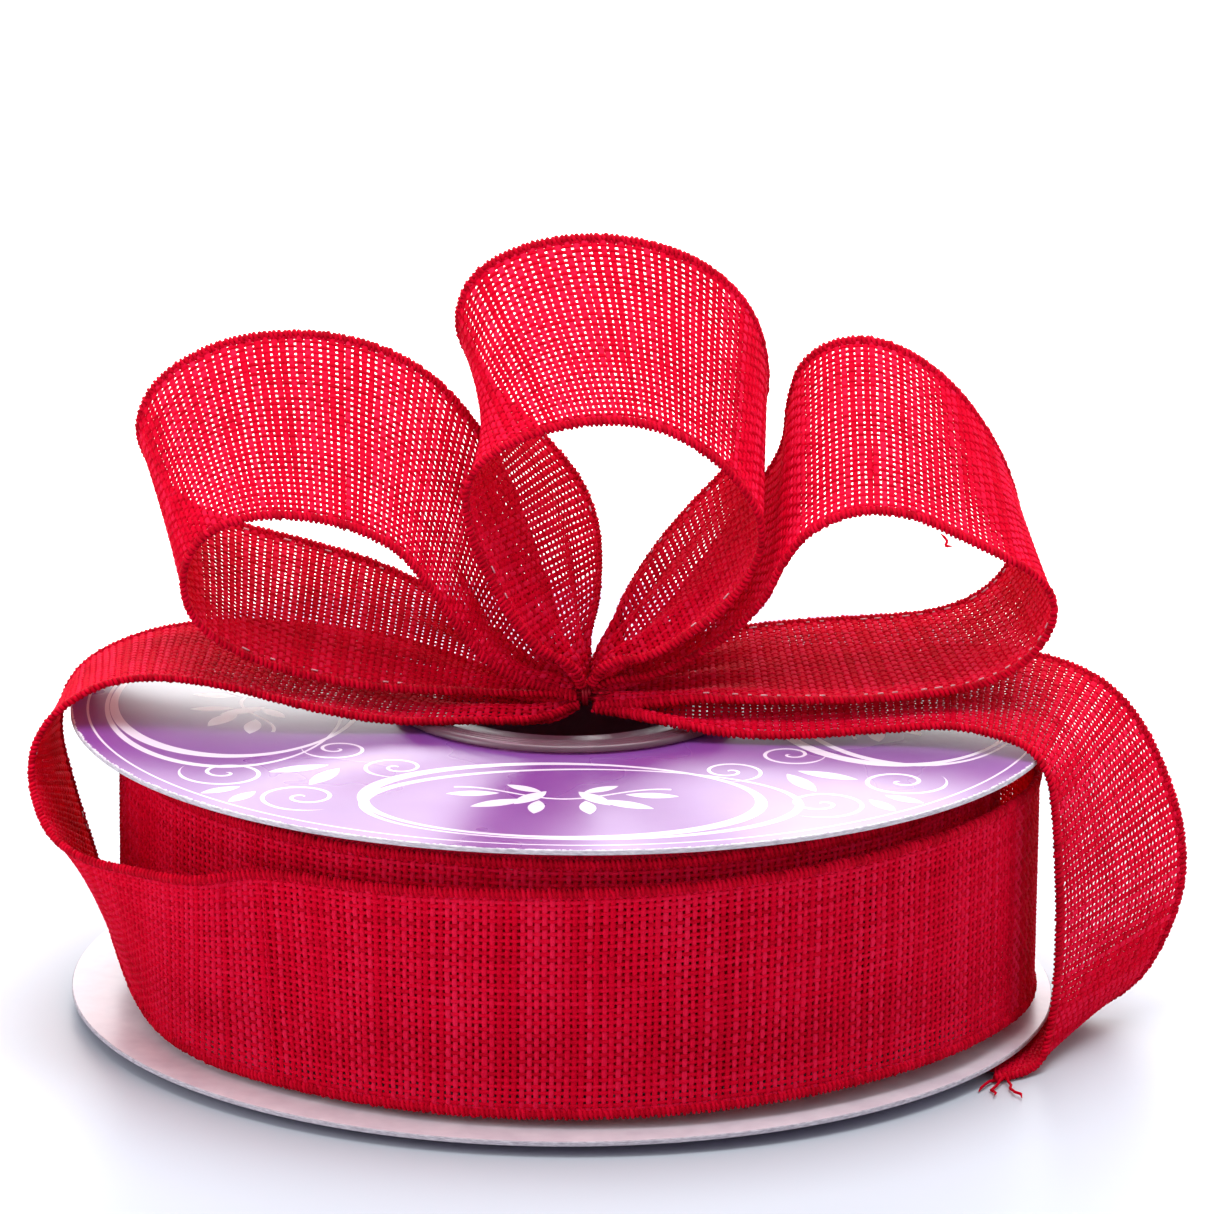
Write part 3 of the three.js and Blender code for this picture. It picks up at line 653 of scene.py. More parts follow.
def smoothLine(points, t, before=None, after=None):
    # Catmull-Rom through the points; t counts them, and before and after are the neighbours it runs on to
    before = 2 * points[0] - points[1] if before is None else before
    after = 2 * points[-1] - points[-2] if after is None else after
    p = np.vstack([before, points, after])
    i = np.minimum(t.astype(int), len(points) - 2)
    w = (t - i)[:, None]
    a, b, c, d = p[i], p[i + 1], p[i + 2], p[i + 3]
    return 0.5 * (2 * b + (c - a) * w + (2 * a - 5 * b + 4 * c - d) * w ** 2 + (3 * b - a - 3 * c + d) * w ** 3)


def unit(vectors):
    return vectors / np.maximum(np.linalg.norm(vectors, axis=-1, keepdims=True), 1e-12)


def settled(points):
    # the tie draws the bow's pinched ends forward and down; the pull fades to the sides and up the loops
    aside = np.clip(1 - np.abs(points[:, 0] - 3.4) / 24, 0, 1)
    pull = aside ** 2 * (3 - 2 * aside) * np.clip((78 - points[:, 2]) / 18, 0, 1)
    drop = pull * np.clip((points[:, 2] - 52.2) / 1.8, 0, 1)
    return points - np.stack([0 * pull, 6 * pull, drop], 1)


def ribbonSurface(name, columns=28):
    # the stretch's middle surface as rows of points, with its length and its facing directions, in metres
    def placed(rungs):
        rungs = np.array(rungs, float)
        if layout[name]["pinched"] and rungs.ndim == 2:
            rungs = np.hstack([settled(rungs[:, :3]), settled(rungs[:, 3:])])
        rungs = rungs * mm
        rungs[..., [0, 3]] += axisX
        return rungs

    rungs = placed(stretches[name])
    facts = layout[name]
    before = placed(stretches[facts["follows"]][-2]) if "follows" in facts else [None, None]
    after = placed(stretches[facts["runsInto"]][1]) if "runsInto" in facts else [None, None]
    before, after = [x if x[0] is None else (x[:3], x[3:]) for x in (before, after)]
    t = np.linspace(0, len(rungs) - 1, 1200)
    near, far = [smoothLine(rungs[:, 3 * k:3 * k + 3], t, before[k], after[k]) for k in (0, 1)]
    middle = (near + far) / 2
    run = np.concatenate([[0], np.cumsum(np.linalg.norm(np.diff(middle, axis=0), axis=1))])
    length = run[-1]
    rows = int(length / (1.3 * mm)) + 1
    even = np.linspace(0, length, rows)
    near, far = [np.stack([np.interp(even, run, side[:, k]) for k in range(3)], 1) for side in (near, far)]
    v = np.linspace(0, 1, columns + 1)
    grid = near[:, None] * (1 - v)[None, :, None] + far[:, None] * v[None, :, None]
    along = np.gradient((near + far) / 2, axis=0)
    flatNormal = unit(np.cross(along, far - near))
    # pleats run out of the pinched middle and die away
    rise = np.zeros((rows, columns + 1))
    for end in layout[name]["pinched"]:
        away = (even if end == 0 else length - even) / mm
        fade = np.clip(1 - away / ribbon["pleatReach"], 0, 1) ** 1.3 * np.clip(away / 5 + 0.35, 0, 1)
        phase = 1.3 * layout[name]["seed"] + 0.5 * end
        bend = v[None, :] * ribbon["pleats"] + 0.12 * np.sin(away / 9)[:, None]
        rise += fade[:, None] * np.sin(2 * math.pi * bend + phase) * ribbon["pleatDepth"] * mm
    grid = grid + flatNormal[:, None] * rise[:, :, None]
    facing = unit(np.cross(np.gradient(grid, axis=0), np.gradient(grid, axis=1)))
    return grid, facing, length


def surfaceObject(name, grid, facing):
    rows, columns = grid.shape[:2]
    faces = [(r * columns + c, (r + 1) * columns + c, (r + 1) * columns + c + 1, r * columns + c + 1)
             for r in range(rows - 1) for c in range(columns - 1)]
    mesh = bpy.data.meshes.new(name + "_surface")
    mesh.from_pydata(grid.reshape(-1, 3).tolist(), [], faces)
    corner = np.zeros(len(mesh.loops), np.int32)
    mesh.loops.foreach_get("vertex_index", corner)
    u, v = np.meshgrid(np.linspace(0, 1, rows), np.linspace(0, 1, columns), indexing="ij")
    flat = np.stack([u.ravel(), v.ravel()], 1)[corner]
    mesh.uv_layers.new(name="flat").data.foreach_set("uv", flat.ravel())
    mesh.attributes.new("facing", "FLOAT_VECTOR", "POINT").data.foreach_set("vector", facing.ravel())
    piece = bpy.data.objects.new(name + "_surface", mesh)
    bpy.context.scene.collection.objects.link(piece)
    return piece


def edgeLines(name, grid, facing, shares):
    # the two edge lines as one mesh, with the directions across the cloth and out of it
    rows, columns = grid.shape[:2]
    points, across, outward, edges = [], [], [], []
    for share in shares:
        place = share * (columns - 1)
        low = min(int(place), columns - 2)
        w = place - low
        line = grid[:, low] * (1 - w) + grid[:, low + 1] * w
        start = len(points)
        points += line.tolist()
        across += unit(grid[:, low + 1] - grid[:, low]).tolist()
        outward += unit(facing[:, low] * (1 - w) + facing[:, low + 1] * w).tolist()
        edges += [(start + i, start + i + 1) for i in range(rows - 1)]
    mesh = bpy.data.meshes.new(name + "_lines")
    mesh.from_pydata(points, edges, [])
    mesh.attributes.new("across", "FLOAT_VECTOR", "POINT").data.foreach_set("vector", np.array(across).ravel())
    mesh.attributes.new("facing", "FLOAT_VECTOR", "POINT").data.foreach_set("vector", np.array(outward).ravel())
    return mesh


def makeStretch(name):
    facts = layout[name]
    grid, facing, length = ribbonSurface(name)
    surface = surfaceObject(name, grid, facing)
    share = 1 - 2 * ribbon["edgeInset"] / ribbon["width"]
    weave = grown(name + "_weave", weaveTree, {"Surface": surface, "Length": length, "Width": ribbon["width"] * mm,
        "Cloth Share": share, "Warps": int(ribbon["width"] * share / ribbon["warpPitch"]) + 1 + ribbon["bandWarps"],
        "Band Start": ribbon["bandStart"], "Open Pitch": ribbon["openPitch"],
        "Wefts": int(length / mm / ribbon["weftPitch"]), "Warp Thread": ribbon["warpThread"] * facts["fullness"] * mm,
        "Weft Thread": ribbon["weftThread"] * facts["fullness"] * mm, "Sides": facts["sides"],
        "Flatness": ribbon["flatness"], "Crimp": ribbon["crimp"] * mm, "Wander": ribbon["wander"] * mm,
        "Slub": ribbon["slub"], "Seed": facts["seed"], "Material": wovenYarn})
    bpy.data.objects.remove(surface)
    inset = ribbon["edgeInset"] / ribbon["width"]
    edging = grown(name + "_edging", overlockTree, {
        "Stitch": ribbon["edgeStitch"] * mm, "Width": ribbon["edgeWidth"] * mm, "Height": ribbon["edgeHeight"] * mm,
        "Thread": ribbon["edgeThread"] * mm, "Core": ribbon["edgeCore"] * mm, "Seed": facts["seed"],
        "Material": overlockThread}, edgeLines(name, grid, facing, (inset, 1 - inset)))
    # the dashes vanish in the folds near a pinched end
    fold = int(ribbon["dashFree"] / length * mm * len(grid))
    clear = slice(fold if 0 in facts["pinched"] else 0, len(grid) - (fold if 1 in facts["pinched"] else 0))
    tacking = grown(name + "_securing_stitch", securingTree, {
        "Pitch": ribbon["dashPitch"] * mm, "Dash": ribbon["dash"] * mm, "Thickness": ribbon["dashThread"] * mm,
        "Lift": ribbon["dashLift"] * mm, "Shown": facts["dashes"], "Seed": facts["seed"], "Material": monofilament},
        edgeLines(name, grid[clear], facing[clear], (inset * 2.1, 1 - inset * 2.1)))
    attach(tacking, "spool", "ribbon_edge")
    inFrame = name in nodes
    attach(weave, "spool", "ribbon_cloth", *([name] if inFrame else []))
    attach(edging, "spool", "ribbon_edge", *([name + "_near_edge", name + "_far_edge"] if inFrame else []))
    triangles = [sum(len(p.vertices) - 2 for p in x.data.polygons) for x in (weave, edging)]
    print(f"{name}: {length / mm:.0f} mm of ribbon, {triangles[0]} + {triangles[1]} triangles")


for stretchName in stretches:
    makeStretch(stretchName)

# The wound roll: about 20 m of ribbon in some sixty turns
roll = {"turns": 61.0, "innerRadius": 32.6, "outerRadius": 70.6, "width": 36.4, "thickness": 0.4, "bead": 0.31,
        "unevenness": 0.5, "middleZ": 26.6}
woundRoll = grown("wound_roll", rollTree, {
    "Turns": roll["turns"], "Inner Radius": roll["innerRadius"] * mm, "Outer Radius": roll["outerRadius"] * mm,
    "Width": roll["width"] * mm, "Thickness": roll["thickness"] * mm, "Bead": roll["bead"] * mm,
    "Unevenness": roll["unevenness"] * mm, "Centre": (axisX, 0, roll["middleZ"] * mm), "Material": woundFace})
attach(woundRoll, "spool", "ribbon_cloth", "wound_ribbon")


# Gathered middle of the bow: the pinched layers as one pleated bundle, waisted where the wire ties it
gather = {"middle": (3.35, -8.8, 54.8), "halfLength": 5.0, "halfDepth": 4.0, "halfHeight": 2.2, "waist": 0.62,
          "pleats": 13, "pleatDepth": 0.2}


def makeGather():
    across, around = 40, 156
    points = []
    for i in range(across + 1):
        s = -1 + 2 * i / across
        bulge = math.sqrt(max(0.0, 1 - abs(s) ** 3.2)) * (gather["waist"] + (1 - gather["waist"]) * min(1,
            (2.1 * s) ** 2))
        for j in range(around):
            a = 2 * math.pi * j / around
            fold = 1 + gather["pleatDepth"] * (0.55 * math.cos(gather["pleats"] * a + 1.7 * s)
                                               + 0.45 * math.cos((gather["pleats"] - 4) * a - 2.3 * s + 1))
            points.append(((gather["middle"][0] + s * gather["halfLength"]) * mm + axisX,
                           (gather["middle"][1] + math.cos(a) * gather["halfDepth"] * bulge * fold) * mm,
                           (gather["middle"][2] + math.sin(a) * gather["halfHeight"] * bulge * fold) * mm))
    faces = [(i * around + j, (i + 1) * around + j, (i + 1) * around + (j + 1) % around, i * around + (j + 1) % around)
             for i in range(1, across - 1) for j in range(around)]
    first, last = len(points), len(points) + 1
    for s in (-1, 1):
        points.append(((gather["middle"][0] + s * gather["halfLength"]) * mm + axisX, gather["middle"][1] * mm,
                       gather["middle"][2] * mm))
    for j in range(around):
        k = (j + 1) % around
        faces.append((first, around + j, around + k))
        faces.append((last, (across - 1) * around + k, (across - 1) * around + j))
    used = sorted({v for face in faces for v in face})
    renumber = {v: n for n, v in enumerate(used)}
    piece = plainPiece("bow_bundle", [points[v] for v in used], [tuple(renumber[v] for v in f) for f in faces],
                       gatheredCloth)
    outwardFaces(piece)
    attach(piece, "spool", "ribbon_cloth", "bow_gather")


def outwardFaces(piece):
    mesh = bmesh.new()
    mesh.from_mesh(piece.data)
    bmesh.ops.remove_doubles(mesh, verts=mesh.verts, dist=1e-7)
    bmesh.ops.recalc_face_normals(mesh, faces=mesh.faces)
    mesh.to_mesh(piece.data)
    mesh.free()


def makeGatheredCloth():
    # woven cloth crushed together: the weave shows only as a fine, broken grain along the folds, painted dark as shade
    # in its crevices
    material, tree, shader, output = newMaterial("gatheredPolyesterBurlap")
    place = objectSpace(tree)
    stretched = addNode(tree, "ShaderNodeMapping", {"Vector": place, "Scale": (0.45, 1.0, 1.0)}).outputs[0]
    creviceShadeGrain = addNode(tree, "ShaderNodeTexVoronoi", {"Vector": stretched, "Scale": 1500.0, "Randomness": 0.8})
    cloud = noise(tree, place, 500.0, 4.0)
    level = addNode(tree, "ShaderNodeMath", {0: creviceShadeGrain.outputs["Distance"], 1: -1.1, 2: cloud.outputs["Fac"]},
                    operation="MULTIPLY_ADD")
    ramp = addNode(tree, "ShaderNodeValToRGB", {"Fac": rescaled(tree, level.outputs[0], -0.5, 0.6)})
    # the dark end, #5e000c, is painted shade in the crushed cloth's crevices
    ramp.color_ramp.elements[0].color = hexColour("#5e000c")
    ramp.color_ramp.elements[1].color = hexColour(ribbonDye["body"])
    bump = bumped(tree, level.outputs[0], 0.9, 0.25 * mm)
    feed(tree, shader, {"Base Color": ramp.outputs["Color"], "Normal": bump.outputs["Normal"], "Roughness": 0.7,
        "Specular IOR Level": 0.05, "Sheen Weight": 0.02})
    return material


gatheredCloth = makeGatheredCloth()
makeGather()


# thin tubes through points, for wire and loose yarn
def tubes(name, lines, thickness, material, sides=6):
    points, faces = [], []
    for line in lines:
        line = np.array(line, float)
        tangent = unit(np.gradient(line, axis=0))
        side = unit(np.cross(tangent, (0.31, 0.2, 0.93)))
        other = np.cross(tangent, side)
        start, last = len(points), len(line) - 1
        for i, p in enumerate(line):
            taper = 0.35 if i in (0, last) else 1
            for k in range(sides):
                a = 2 * math.pi * k / sides
                points.append(p + (side[i] * math.cos(a) + other[i] * math.sin(a)) * thickness / 2 * taper)
        for i in range(last):
            for k in range(sides):
                m = (k + 1) % sides
                faces.append((start + i * sides + k, start + i * sides + m, start + (i + 1) * sides + m,
                              start + (i + 1) * sides + k))
        faces.append(tuple(start + k for k in reversed(range(sides))))
        faces.append(tuple(start + last * sides + k for k in range(sides)))
    piece = plainPiece(name, points, faces, material)
    outwardFaces(piece)
    return piece


# Tie wire: two and a half turns round the waist, its ends twisted together behind
tie = {"turns": 2.5, "diameter": 0.55, "halfDepth": 3.5, "halfHeight": 2.2, "spread": 0.5, "twist": 9, "twists": 3.5}


def makeTieWire():
    # soft iron florist wire, lacquered red: a thin glossy skin over metal
    material, tree, shader, output = newMaterial("lacqueredFloristWire")
    place = objectSpace(tree)
    chips = noise(tree, place, 900.0, 3.0)
    ramp = addNode(tree, "ShaderNodeValToRGB", {"Fac": chips.outputs["Fac"]})
    ramp.color_ramp.elements[0].position, ramp.color_ramp.elements[1].position = 0.6, 0.72
    ramp.color_ramp.elements[0].color, ramp.color_ramp.elements[1].color = hexColour("#90001a"), hexColour("#5c0a14")
    feed(tree, shader, {"Base Color": ramp.outputs["Color"],
        "Roughness": between(tree, chips.outputs["Fac"], 0.25, 0.5), "Specular IOR Level": 0.15})
    middle = np.array(gather["middle"])
    ring = []
    for i in range(int(tie["turns"] * 28) + 1):
        a = math.pi / 2 - 2 * math.pi * i / 28
        ring.append(middle + (tie["spread"] * (i / 28 - tie["turns"] / 2), tie["halfDepth"] * math.sin(a),
                              tie["halfHeight"] * math.cos(a)))
    strands = [ring]
    for phase in (0, math.pi):
        strand = []
        for i in range(37):
            s = i / 36
            a = phase + 2 * math.pi * tie["twists"] * s
            strand.append(middle + (0.3 * math.cos(a), tie["halfDepth"] - 0.1 + tie["twist"] * s,
                                    0.3 * math.sin(a) - 2.4 * s * s))
        strands.append(strand)
    lines = [[np.array(p) * mm + (axisX, 0, 0) for p in line] for line in strands]
    piece = tubes("twisted_tie_wire", lines, tie["diameter"] * mm, material, 8)
    attach(piece, "spool", "tie_wire", "bow_tie_wire")


makeTieWire()

# Loose yarn: the frayed cut end of the tail on the table, and a stray thread on the right loop
fray = {"ends": 26, "shortest": 2.0, "longest": 8.5, "thread": 0.5, "seed": 5}


def makeLooseYarn():
    chance = np.random.default_rng(fray["seed"])
    start, end = np.array((69.5, -42.0, 0.95)), np.array((70.2, -8.5, 0.95))
    lines = []
    for i in range(fray["ends"]):
        s = (i + chance.uniform(0.1, 0.9)) / fray["ends"]
        root = start + (end - start) * s + (1.5, 0, 0)
        reach = chance.uniform(fray["shortest"], fray["longest"]) * (1.25 if s < 0.15 else 0.7)
        heading = math.radians(chance.uniform(168, 236) if s > 0.15 else chance.uniform(215, 275))
        line = []
        for k in range(9):
            w = k / 8
            bend = heading + 0.9 * chance.uniform(-0.5, 0.5) + w * 0.5
            line.append(root.copy() if k == 0 else line[-1] + np.array(
                (math.cos(bend), math.sin(bend), 0)) * reach / 8)
        for k, p in enumerate(line):
            p[2] = max(0.32, 0.95 - 0.5 * k / 8 + 0.25 * math.sin(k + i))
        lines.append([p * mm + (axisX, 0, 0) for p in line])
    stray = [np.array((59.5, -16.4, 83.5)) + (0.25 * k + 0.5 * math.sin(k * 0.9), -0.35 * k, -0.55 * k + 0.05 * k * k)
             for k in range(8)]
    lines.append([p * mm + (axisX, 0, 0) for p in stray])
    attach(tubes("loose_yarn", lines, fray["thread"] * mm, wovenYarn, 5), "spool", "ribbon_cloth")


makeLooseYarn()
print("bow middle, wire and loose yarn ready")


# Printed card flanges
flange = {"outer": 80, "hole": 22.5, "thickness": 0.8, "corner": 0.14, "bow": 0.3, "upperZ": 48.7, "lowerZ": 2.0,
          "print": "#824799", "deep": "#682e81", "line": "#e8deec"}


def turned(name, outline, segments, materials, faceMaterial=None, wave=None):
    # a turned piece round the spool's axis from its closed outline of (radius, height) corners, in millimetres
    points, faces, picks = [], [], []
    count = len(outline)
    for i in range(segments):
        a = 2 * math.pi * i / segments
        for r, z in outline:
            points.append((r * math.cos(a) * mm + axisX, r * math.sin(a) * mm, (z + (wave(r, a) if wave else 0)) * mm))
    for i in range(segments):
        k = (i + 1) % segments
        for j in range(count):
            m = (j + 1) % count
            faces.append((i * count + j, k * count + j, k * count + m, i * count + m))
            picks.append(faceMaterial[j] if faceMaterial else 0)
    piece = plainPiece(name, points, faces, materials[0])
    for extra in materials[1:]:
        piece.data.materials.append(extra)
    piece.data.polygons.foreach_set("material_index", picks)
    outwardFaces(piece)
    piece.data.set_sharp_from_angle(angle=math.radians(35))
    return piece


def makePrintedFace():
    # litho-printed solid bleached board under a gloss varnish: violet ground, pale drawn ovals, leaves and scrolls
    material, tree, shader, output = newMaterial("varnishedPrintedBoard")

    def calc(operation, *values):
        return maths(tree, operation, *values)

    place = objectSpace(tree)
    centred = addNode(tree, "ShaderNodeMapping", {"Vector": place, "Location": (-axisX / mm, 0, 0),
                                                  "Scale": (1 / mm, 1 / mm, 1 / mm)}).outputs[0]
    split = addNode(tree, "ShaderNodeSeparateXYZ", {"Vector": centred})
    x, y = split.outputs["X"], split.outputs["Y"]
    radius = calc("SQRT", calc("ADD", calc("MULTIPLY", x, x), calc("MULTIPLY", y, y)))
    angle = calc("ARCTAN2", y, x)

    def sector(turn, count):
        # folds the disc into equal sectors: the distance out, and along the arc from the sector's middle
        wide = 2 * math.pi / count
        own = calc("SUBTRACT", calc("FLOORED_MODULO", calc("ADD", angle, turn), wide), wide / 2)
        return calc("MULTIPLY", radius, calc("COSINE", own)), calc("MULTIPLY", radius, calc("SINE", own))

    def ovalLine(u, v, middle, size, width, tilt=0.0):
        # a drawn oval, its stroke swelling and thinning round it
        du, dv = calc("SUBTRACT", u, middle[0]), calc("SUBTRACT", v, middle[1])
        c, s = math.cos(tilt), math.sin(tilt)
        a = calc("DIVIDE", calc("ADD", calc("MULTIPLY", du, c), calc("MULTIPLY", dv, s)), size[0])
        b = calc("DIVIDE", calc("SUBTRACT", calc("MULTIPLY", dv, c), calc("MULTIPLY", du, s)), size[1])
        out = calc("SQRT", calc("ADD", calc("MULTIPLY", a, a), calc("MULTIPLY", b, b)))
        off = calc("MULTIPLY", calc("ABSOLUTE", calc("SUBTRACT", out, 1.0)), min(size))
        swell = calc("MULTIPLY_ADD", calc("SINE", calc("MULTIPLY", calc("ARCTAN2", b, a), 2.0)), 0.45 * width,
            width)
        return calc("LESS_THAN", off, swell)

    def leaf(u, v, middle, size, tilt):
        du, dv = calc("SUBTRACT", u, middle[0]), calc("SUBTRACT", v, middle[1])
        c, s = math.cos(tilt), math.sin(tilt)
        a = calc("DIVIDE", calc("ADD", calc("MULTIPLY", du, c), calc("MULTIPLY", dv, s)), size[0])
        b = calc("DIVIDE", calc("SUBTRACT", calc("MULTIPLY", dv, c), calc("MULTIPLY", du, s)), size[1])
        return calc("LESS_THAN", calc("ADD", calc("MULTIPLY", a, a), calc("ABSOLUTE", b)), 1.0)

    def scroll(u, v, middle, pitch, reach, width):
        # a spiral line that stops at its reach
        du, dv = calc("SUBTRACT", u, middle[0]), calc("SUBTRACT", v, middle[1])
        out = calc("SQRT", calc("ADD", calc("MULTIPLY", du, du), calc("MULTIPLY", dv, dv)))
        phase = calc("SUBTRACT", calc("DIVIDE", out, pitch), calc("DIVIDE", calc("ARCTAN2", dv, du), 2 * math.pi))
        off = calc("MULTIPLY", calc("ABSOLUTE", calc("SUBTRACT", calc("FLOORED_MODULO", phase, 1.0), 0.5)), pitch)
        return calc("MULTIPLY", calc("LESS_THAN", off, width), calc("LESS_THAN", out, reach))

    u, v = sector(math.pi / 2 + math.pi / 4, 4)
    mirrored = calc("ABSOLUTE", v)
    marks = [ovalLine(u, v, (53, 0), (20, 31), 0.62), ovalLine(u, v, (55, 3), (19, 34), 0.36, 0.06)]
    for middle, size, tilt in (((52, 5), (4.4, 1.5), 0.6), ((55, 10), (4.8, 1.6), 1.1), ((50, 14), (4.2, 1.4), 1.5),
                               ((57, 4), (3.6, 1.3), 0.1), ((47, 6), (3.4, 1.2), 2.2)):
        marks.append(leaf(u, mirrored, middle, size, tilt))
    marks.append(calc("MULTIPLY", calc("LESS_THAN", mirrored, 17.0), calc("LESS_THAN", calc("ABSOLUTE", calc(
        "SUBTRACT", u, calc("MULTIPLY_ADD", calc("COSINE", calc("MULTIPLY", mirrored, 0.2)), 3.0, 49.5))), 0.3)))
    p, q = sector(0.0, 4)
    sideways = calc("ABSOLUTE", q)
    marks.append(scroll(p, sideways, (66, 9), 4.6, 7.5, 0.34))
    marks.append(scroll(p, sideways, (44, 7), 3.6, 5.6, 0.3))
    for middle, size, tilt in (((56, 3), (5.2, 1.5), 0.35), ((73, 2.5), (3.6, 1.2), 0.2)):
        marks.append(leaf(p, sideways, middle, size, tilt))
    marks.append(calc("LESS_THAN", calc("ABSOLUTE", calc("SUBTRACT", radius, 77.2)), 0.2))
    drawn = marks[0]
    for mark in marks[1:]:
        drawn = calc("MAXIMUM", drawn, mark)

    # the ink lies a little unevenly, and the edge of the board is scuffed
    ink = noise(tree, place, 45.0, 4.0).outputs["Fac"]
    specks = noise(tree, place, 1400.0, 2.0).outputs["Fac"]
    ground = blended(tree, ink, hexColour(flange["deep"]), hexColour(flange["print"]))
    faded = blended(tree, calc("MULTIPLY", drawn, 0.82), ground, hexColour(flange["line"]))
    worn = calc("MULTIPLY", calc("GREATER_THAN", calc("ADD", radius, calc("MULTIPLY", specks, 1.3)), 80.35), 0.8)
    colour = blended(tree, worn, faded, hexColour("#f4f0f6"))
    tree.links.new(colour, shader.inputs["Base Color"])
    smear = noise(tree, place, 24.0, 3.0).outputs["Fac"]
    tree.links.new(addNode(tree, "ShaderNodeMapRange", {
        "Value": smear, "From Min": 0.3, "From Max": 0.7, "To Min": 0.24, "To Max": 0.36}).outputs[0],
        shader.inputs["Roughness"])
    fibre = noise(tree, place, 160.0, 3.0).outputs["Fac"]
    feed(tree, shader, {"Normal": bumped(tree, fibre, 0.18, 0.1 * mm).outputs["Normal"], "IOR": 1.55,
                        "Coat Weight": 0.2, "Coat Roughness": 0.22})
    return material


def makeCard(name, light, dark, roughness, coarse, layers):
    # card: pale mottled fibre, and fine pressed layers where its edge is cut
    material, tree, shader, output = newMaterial(name)
    place = objectSpace(tree)
    fibre = addNode(tree, "ShaderNodeTexNoise", {"Vector": addNode(
        tree, "ShaderNodeMapping", {"Vector": place, "Scale": (1, 1, layers)}).outputs[0], "Scale": coarse,
        "Detail": 4.0}).outputs["Fac"]
    ramp = addNode(tree, "ShaderNodeValToRGB", {"Fac": fibre})
    ramp.color_ramp.elements[0].position, ramp.color_ramp.elements[1].position = 0.3, 0.7
    ramp.color_ramp.elements[0].color, ramp.color_ramp.elements[1].color = hexColour(dark), hexColour(light)
    feed(tree, shader, {"Base Color": ramp.outputs["Color"],
        "Normal": bumped(tree, fibre, 0.25, 0.08 * mm).outputs["Normal"],
        "Roughness": between(tree, fibre, roughness - 0.08, roughness + 0.1)})
    return material


printedFace = makePrintedFace()
# the board's back is painted darker and pinker than its white card: painted shade and a painted reflection of the red
# ribbon
paintedShadeBoardBack = makeCard("clayCoatedBoardBackPaintedShade", "#e4dae4", "#d2c6d3", 0.38, 220.0, 1)
cutEdge = makeCard("dieCutBoardEdge", "#c9c3cd", "#948c99", 0.8, 900.0, 6)


def makeFlange(name, bottom, body, node, slotName, printedUp, turn):
    r, c, t = flange["outer"], flange["corner"], flange["thickness"]
    rings = [flange["hole"], 30, 40, 50, 60, 70]
    under = [(x, bottom) for x in rings] + [(r - c, bottom)]
    over = [(r - c, bottom + t)] + [(x, bottom + t) for x in reversed(rings)]
    outline = under + [(r, bottom + c), (r, bottom + t - c)] + over
    up, down = (0, 1) if printedUp else (1, 0)
    picks = [down] * (len(under) - 1) + [2, 2, 2] + [up] * (len(over) - 1) + [2]

    def wave(radius, angle):
        share = max(0, (radius - 28) / 52) ** 2
        return flange["bow"] * share * (0.6 * math.sin(2 * angle + turn) + 0.4 * math.sin(3 * angle - turn))

    piece = turned(name, outline, 240, [printedFace, paintedShadeBoardBack, cutEdge], picks, wave)
    attach(piece, body, slotName, node)


makeFlange("printed_upper_flange", flange["upperZ"], "upper_flange", "top_flange", "board_upper", True, 0.6)
makeFlange("printed_lower_flange", flange["lowerZ"], "lower_flange", "bottom_flange", "board_lower", False, 2.4)
print("flanges ready")


# Clear hub halves
hub = {"bore": 18, "lip": 28, "tube": 22, "wall": 2, "spigot": 19.7,
       "ribs": 6, "ribThickness": 1.4, "ribLength": 16, "ribReach": 28.6, "ridge": 0.16}


def makeClearPlastic():
    # injection-moulded clear polystyrene: bright edges and a faint flow haze
    material, tree, shader, output = newMaterial("mouldedClearPolystyrene")
    place = objectSpace(tree)
    haze = noise(tree, place, 130.0, 3.0).outputs["Fac"]
    tree.links.new(between(tree, haze, 0.2, 0.45),
                   shader.inputs["Roughness"])
    # the mauve tint is painted: a painted reflection of the red ribbon and the violet print, and painted shade, on
    # plastic that is clear
    tint = blended(tree, haze, hexColour("#b07c98"), hexColour("#985f80"))
    feed(tree, shader, {"Base Color": tint, "Normal": bumped(tree, haze, 0.3, 0.1 * mm).outputs["Normal"],
                        "Transmission Weight": 0.85, "IOR": 1.59})
    return material


clearPlastic = makeClearPlastic()


def withRibs(piece, fromZ):
    # radial ribs that centre the card tube
    mesh = bmesh.new()
    mesh.from_mesh(piece.data)
    inner, outer = hub["tube"] - hub["wall"] / 2, hub["ribReach"]
    for i in range(hub["ribs"]):
        box = bmesh.ops.create_cube(mesh, size=1)["verts"]
        bmesh.ops.scale(mesh, verts=box, vec=((outer - inner) * mm, hub["ribThickness"] * mm, hub["ribLength"] * mm))
        bmesh.ops.translate(mesh, verts=box, vec=((inner + outer) / 2 * mm, 0, (fromZ + hub["ribLength"] / 2) * mm))
        bmesh.ops.rotate(mesh, verts=box, cent=(0, 0, 0), matrix=Matrix.Rotation(i * 2 * math.pi / hub["ribs"], 3, "Z"))
        bmesh.ops.translate(mesh, verts=box, vec=(axisX, 0, 0))
        edges = list({e for v in box for e in v.link_edges})
        bmesh.ops.bevel(mesh, geom=edges, offset=0.2 * mm, segments=2, affect="EDGES")
    mesh.to_mesh(piece.data)
    mesh.free()


def ridges(inner, outer, height, count):
    # fine turned steps across a flat lip, from outside in
    steps = []
    for i in range(count):
        a = outer - (outer - inner) * (i + 0.35) / count
        b = outer - (outer - inner) * (i + 0.65) / count
        steps += [(a, height), (a - 0.12, height - hub["ridge"]), (b, height - hub["ridge"]), (b - 0.12, height)]
    return steps


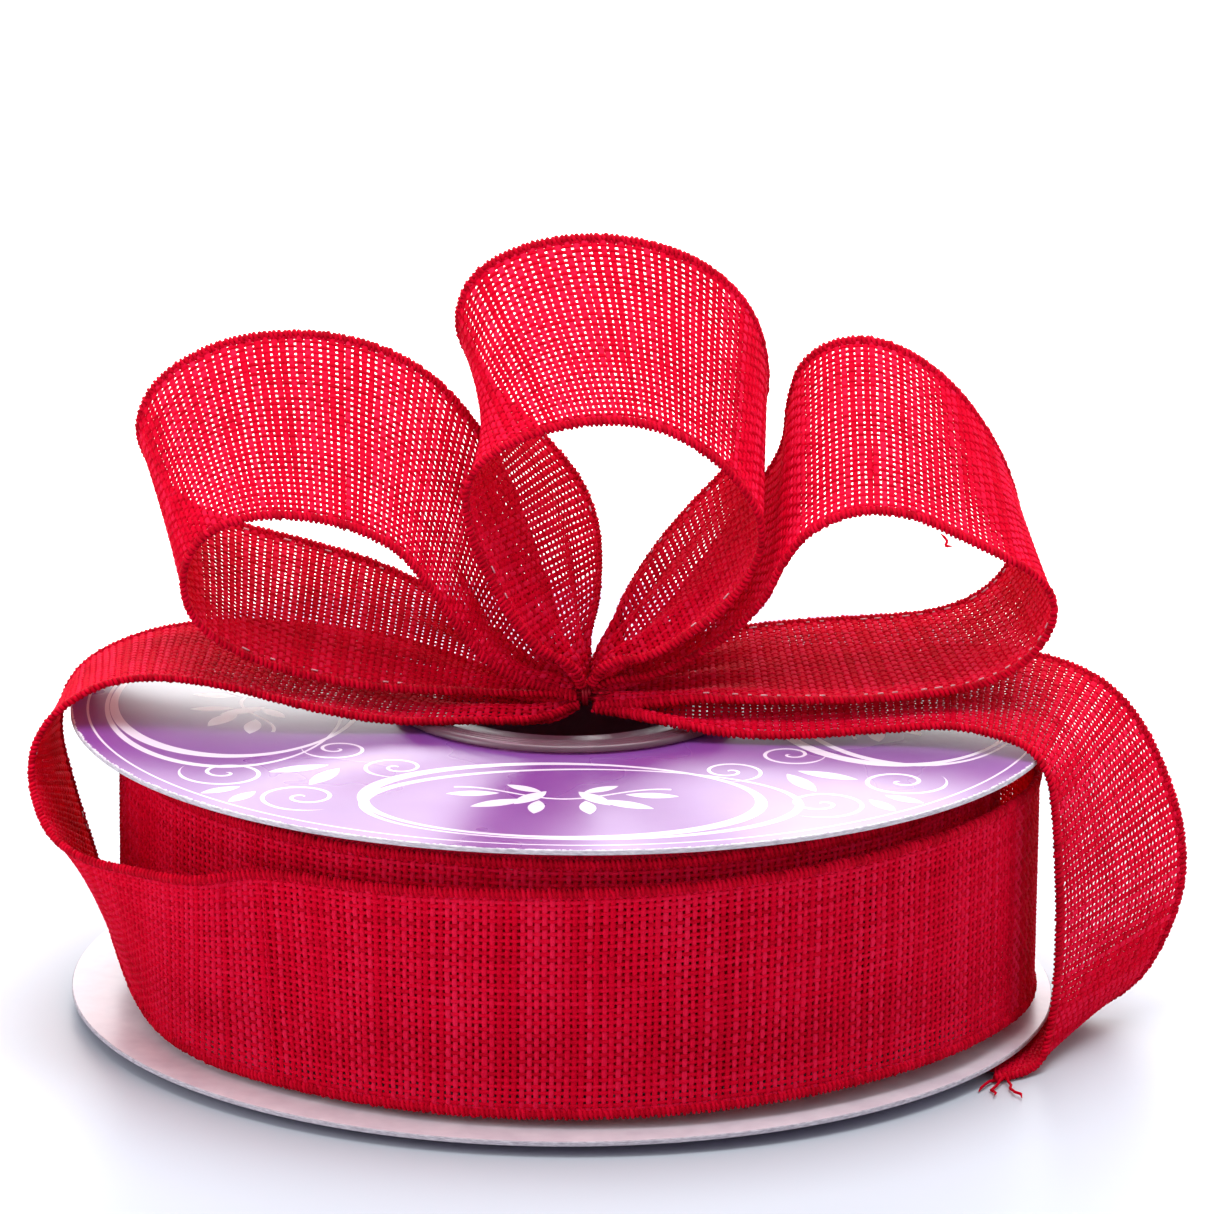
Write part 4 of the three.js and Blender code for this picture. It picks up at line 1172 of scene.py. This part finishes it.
lower = turned("clear_lower_hub", [
    (hub["bore"], 0.2), (hub["bore"] + 0.2, 0), (hub["lip"] - 0.6, 0), (hub["lip"] - 0.15, 0.15), (hub["lip"], 0.6),
    (hub["lip"], 1.55), (hub["lip"] - 0.15, 1.7), (hub["tube"] + 0.2, 1.7), (hub["tube"], 1.9), (hub["tube"], 25.5),
    (hub["tube"] - 0.1, 25.6), (hub["spigot"] + 0.1, 25.6), (hub["spigot"], 25.7), (hub["spigot"], 32.6),
    (hub["spigot"] - 0.4, 33), (hub["bore"] + 0.1, 33), (hub["bore"], 32.9)], 128, [clearPlastic])
withRibs(lower, 3.1)
attach(lower, "spool", "hub_plastic", "hub_lower")
upper = turned("clear_upper_hub", [
    (20, 25.95), (20.1, 25.9), (21.9, 25.9), (22, 26), (22, 49.6), (22.2, 49.8), (27.85, 49.8), (28, 49.95), (28, 50.3),
    (27.85, 50.65), (27.5, 50.88)] + ridges(24.4, 27.3, 50.9, 3) + [
    (24.3, 50.88), (23.6, 50.4), (20.15, 50.4), (20, 50.25)], 128, [clearPlastic])
withRibs(upper, 32.4)
attach(upper, "spool", "hub_plastic", "hub_upper")
print("hub ready")


def makeCoreCard():
    # spiral-wound kraft tube: the winding seam climbs the tube in a helix
    material = makeCard("spiralWoundKraftCard", "#c6a57b", "#9b7a52", 0.85, 420.0, 1)
    tree = material.node_tree
    shader = tree.nodes["Principled BSDF"]
    card = shader.inputs["Base Color"].links[0].from_socket
    split = addNode(tree, "ShaderNodeSeparateXYZ",
        {"Vector": addNode(tree, "ShaderNodeMapping",
        {"Vector": objectSpace(tree), "Location": (-axisX, 0, 0)}).outputs[0]})
    turnShare = maths(tree, "DIVIDE", maths(tree, "ARCTAN2", split.outputs["Y"], split.outputs["X"]), 2 * math.pi)
    climb = maths(tree, "MULTIPLY_ADD", split.outputs["Z"], 1 / 0.03, turnShare)
    seam = maths(tree, "LESS_THAN", maths(tree, "FLOORED_MODULO", climb, 1.0), 0.02)
    colour = blended(tree, seam, card, hexColour("#6f5535"))
    tree.links.new(colour, shader.inputs["Base Color"])
    return material


def paint(node, material):
    nodes[node].data.materials.clear()
    nodes[node].data.materials.append(material)


paint("core_tube", makeCoreCard())
paint("start_tape", makeCard("creasedAdhesiveTape", "#efe8cc", "#e0d6b0", 0.3, 500.0, 1))
